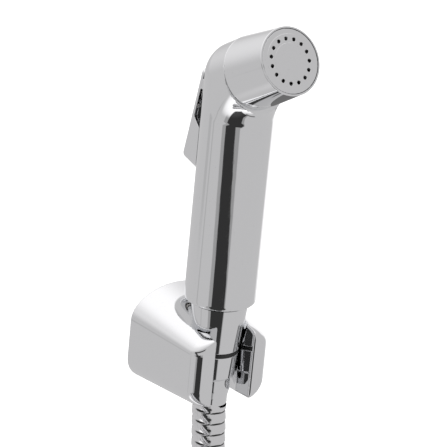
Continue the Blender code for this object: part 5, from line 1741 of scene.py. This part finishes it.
def make_tie():
    """A thin domed section carried round a squarish loop."""
    low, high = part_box("coil_tie")
    upright = np.array([0.0, 0.0, 1.0])
    half_x, half_y = ((high[k] - low[k]) / 2 - TIE_THICK / 2 for k in (0, 1))
    across, deep = super_ellipse(half_x, half_y, 2.0 / 7.0, 2.0 / 7.0, TIE_STEPS)
    loop = np.stack((across, deep, np.zeros(TIE_STEPS)), axis=1)
    along = np.roll(loop, -1, axis=0) - np.roll(loop, 1, axis=0)
    out = np.cross(along, upright)
    out /= np.linalg.norm(out, axis=1)[:, None]
    outward, upward = super_ellipse(TIE_THICK / 2, (high.z - low.z) / 2, 0.5, 0.35, TIE_SECTION)
    grid = (loop[:, None, :] + outward[None, :, None] * out[:, None, :]
            + upward[None, :, None] * upright)
    centre = np.array((low + high) / 2)
    return face_outward(to_object("strap", centre + grid, grid_faces(TIE_STEPS, TIE_SECTION, True),
                                  None, BLACK_PLASTIC))


dress(make_tie(), "hose_side", "black_plastic", "coil_tie")
print("far end and strap made")

# %% [markdown]
# ## Valve under the lever
#
# Behind the lever one sees the plunger, its return spring and the brass gland it slides in.  They
# are turned and wound again at a finer step than the solids.

# %% Plunger, gland and pin
STEM_TIP = 17.3 * MM
STEM_R = 1.5 * MM
BUTTON_R = 3.4 * MM
COLLAR_R = 3.6 * MM
COLLAR_AT = -3.1 * MM


def make_plunger():
    """A stem with a button near its tip, for the spring, and a collar at its inner end."""
    step, button, foot = STEM_TIP - 0.8 * MM, STEM_TIP - 2.0 * MM, COLLAR_AT - 0.8 * MM
    corners = [(0.0, STEM_TIP), (STEM_R, STEM_TIP), (STEM_R, step), (BUTTON_R, step),
               (BUTTON_R, button), (STEM_R, button), (STEM_R, COLLAR_AT), (COLLAR_R, COLLAR_AT),
               (COLLAR_R, foot), (0.0, foot)]
    radii = np.array([0.0, 0.3, 0.1, 0.25, 0.25, 0.1, 0.1, 0.15, 0.15, 0.0]) * MM
    made = solid_turned("plunger", corners, radii, stem_place(), STEEL, 64)
    return dress(made, "plunger", "steel", "valve_stem")


def make_gland():
    """A flanged bush with a cup for the spring in its outer face."""
    rim_r, shank_r, cup_r, bore_r = 5.4 * MM, 4.2 * MM, 3.5 * MM, 1.7 * MM
    end, cup, seat, flange = 3.4 * MM, 6.0 * MM, 9.0 * MM, 10.5 * MM
    corners = [(rim_r, flange), (rim_r, seat), (shank_r, seat), (shank_r, end), (bore_r, end),
               (bore_r, cup), (cup_r, cup), (cup_r, flange)]
    made = turned("gland", corners, 0.2 * MM, stem_place(), BRASS, 80)
    return dress(made, "holder_and_handset", "brass", "valve_gland")


def make_pin():
    """The lever's cross pin, with broken edges."""
    reach = LEVER_HALF_W - 0.3 * MM
    corners = [(0.0, reach), (PIN_R, reach), (PIN_R, -reach), (0.0, -reach)]
    place = axis_place(PIVOT_HEIGHT) @ Matrix.Translation((0.0, PIVOT_BACK, 0.0))
    made = solid_turned("cross_pin", corners, np.array([0.0, 0.3, 0.3, 0.0]) * MM,
                        place @ Matrix.Rotation(math.pi / 2, 4, "Y"), STEEL, 48)
    return dress(made, "holder_and_handset", "steel", "lever_pin")


make_plunger()
make_gland()
make_pin()
print("plunger, gland and pin turned")

# %% [markdown]
# ## Return spring
#
# The spring pushes the plunger and the lever out again.  It sits between the gland's cup and the
# button.  A curve with a round bevel could stand for it too, but the helpers for grids already
# sweep closed tubes.  When the plunger moves, the spring gets shorter along its axis.

# %% Return spring
SPRING_LOW, SPRING_HIGH = 6.2 * MM, 15.1 * MM
SPRING_R = 2.6 * MM
WIRE_R = 0.35 * MM
SPRING_TURNS = 5
SPRING_STEPS = 400
WIRE_SIDES = 14
FLAT_SHARE = 0.08


def make_spring():
    """Helix about the stem with a round wire; each end lies flat for 0.08 of the whole wire."""
    share = np.linspace(0.0, 1.0, SPRING_STEPS)
    rise = np.clip((share - FLAT_SHARE) / (1.0 - 2 * FLAT_SHARE), 0.0, 1.0)
    angle = 2 * np.pi * SPRING_TURNS * share
    height = SPRING_LOW + WIRE_R + (SPRING_HIGH - SPRING_LOW - 2 * WIRE_R) * rise
    out = np.stack((np.cos(angle), np.sin(angle), np.zeros(SPRING_STEPS)), axis=1)
    centre = np.stack((SPRING_R * np.cos(angle), SPRING_R * np.sin(angle), height), axis=1)
    forward = np.gradient(centre, axis=0)
    forward /= np.linalg.norm(forward, axis=1)[:, None]
    spokes = spokes_round(out, np.cross(forward, out), WIRE_SIDES)
    grid = placed(centre[:, None, :] + WIRE_R * spokes, stem_place())
    return face_outward(to_object("return_spring", grid, capped_faces(SPRING_STEPS, WIRE_SIDES),
                                  None, STEEL))


return_spring = dress(make_spring(), "holder_and_handset", "steel", "valve_spring")
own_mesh(return_spring)
print(f"spring of {SPRING_TURNS} turns, {(SPRING_HIGH - SPRING_LOW) * 1000:.1f} mm long")

# %% [markdown]
# ## Inner solids
#
# The rest of the inside is hidden in every view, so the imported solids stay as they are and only
# take the finish of what they are made of.

# %% Finishes of the inner solids
INNER = {
    BRASS: ("valve_block", "valve_cap", "riser_tube", "head_tube", "inlet_spigot", "hose_tail"),
    RUBBER: ("plate_seal", "head_seal", "valve_washer", "stem_seal", "hose_washer"),
    STEEL: ("inlet_filter",),
    WHITE_PLASTIC: ("flow_diffuser", "head_bush"),
}
for finish, names in INNER.items():
    for name in names:
        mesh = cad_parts[name].data
        mesh.materials.clear()
        mesh.materials.append(finish)
print("inner solids:", sum(len(names) for names in INNER.values()))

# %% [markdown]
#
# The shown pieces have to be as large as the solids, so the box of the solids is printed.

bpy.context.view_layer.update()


def as_lists(box):
    """Both corners of a box as plain lists."""
    return [list(map(float, corner)) for corner in box]


print("solids", as_lists(solid_box))
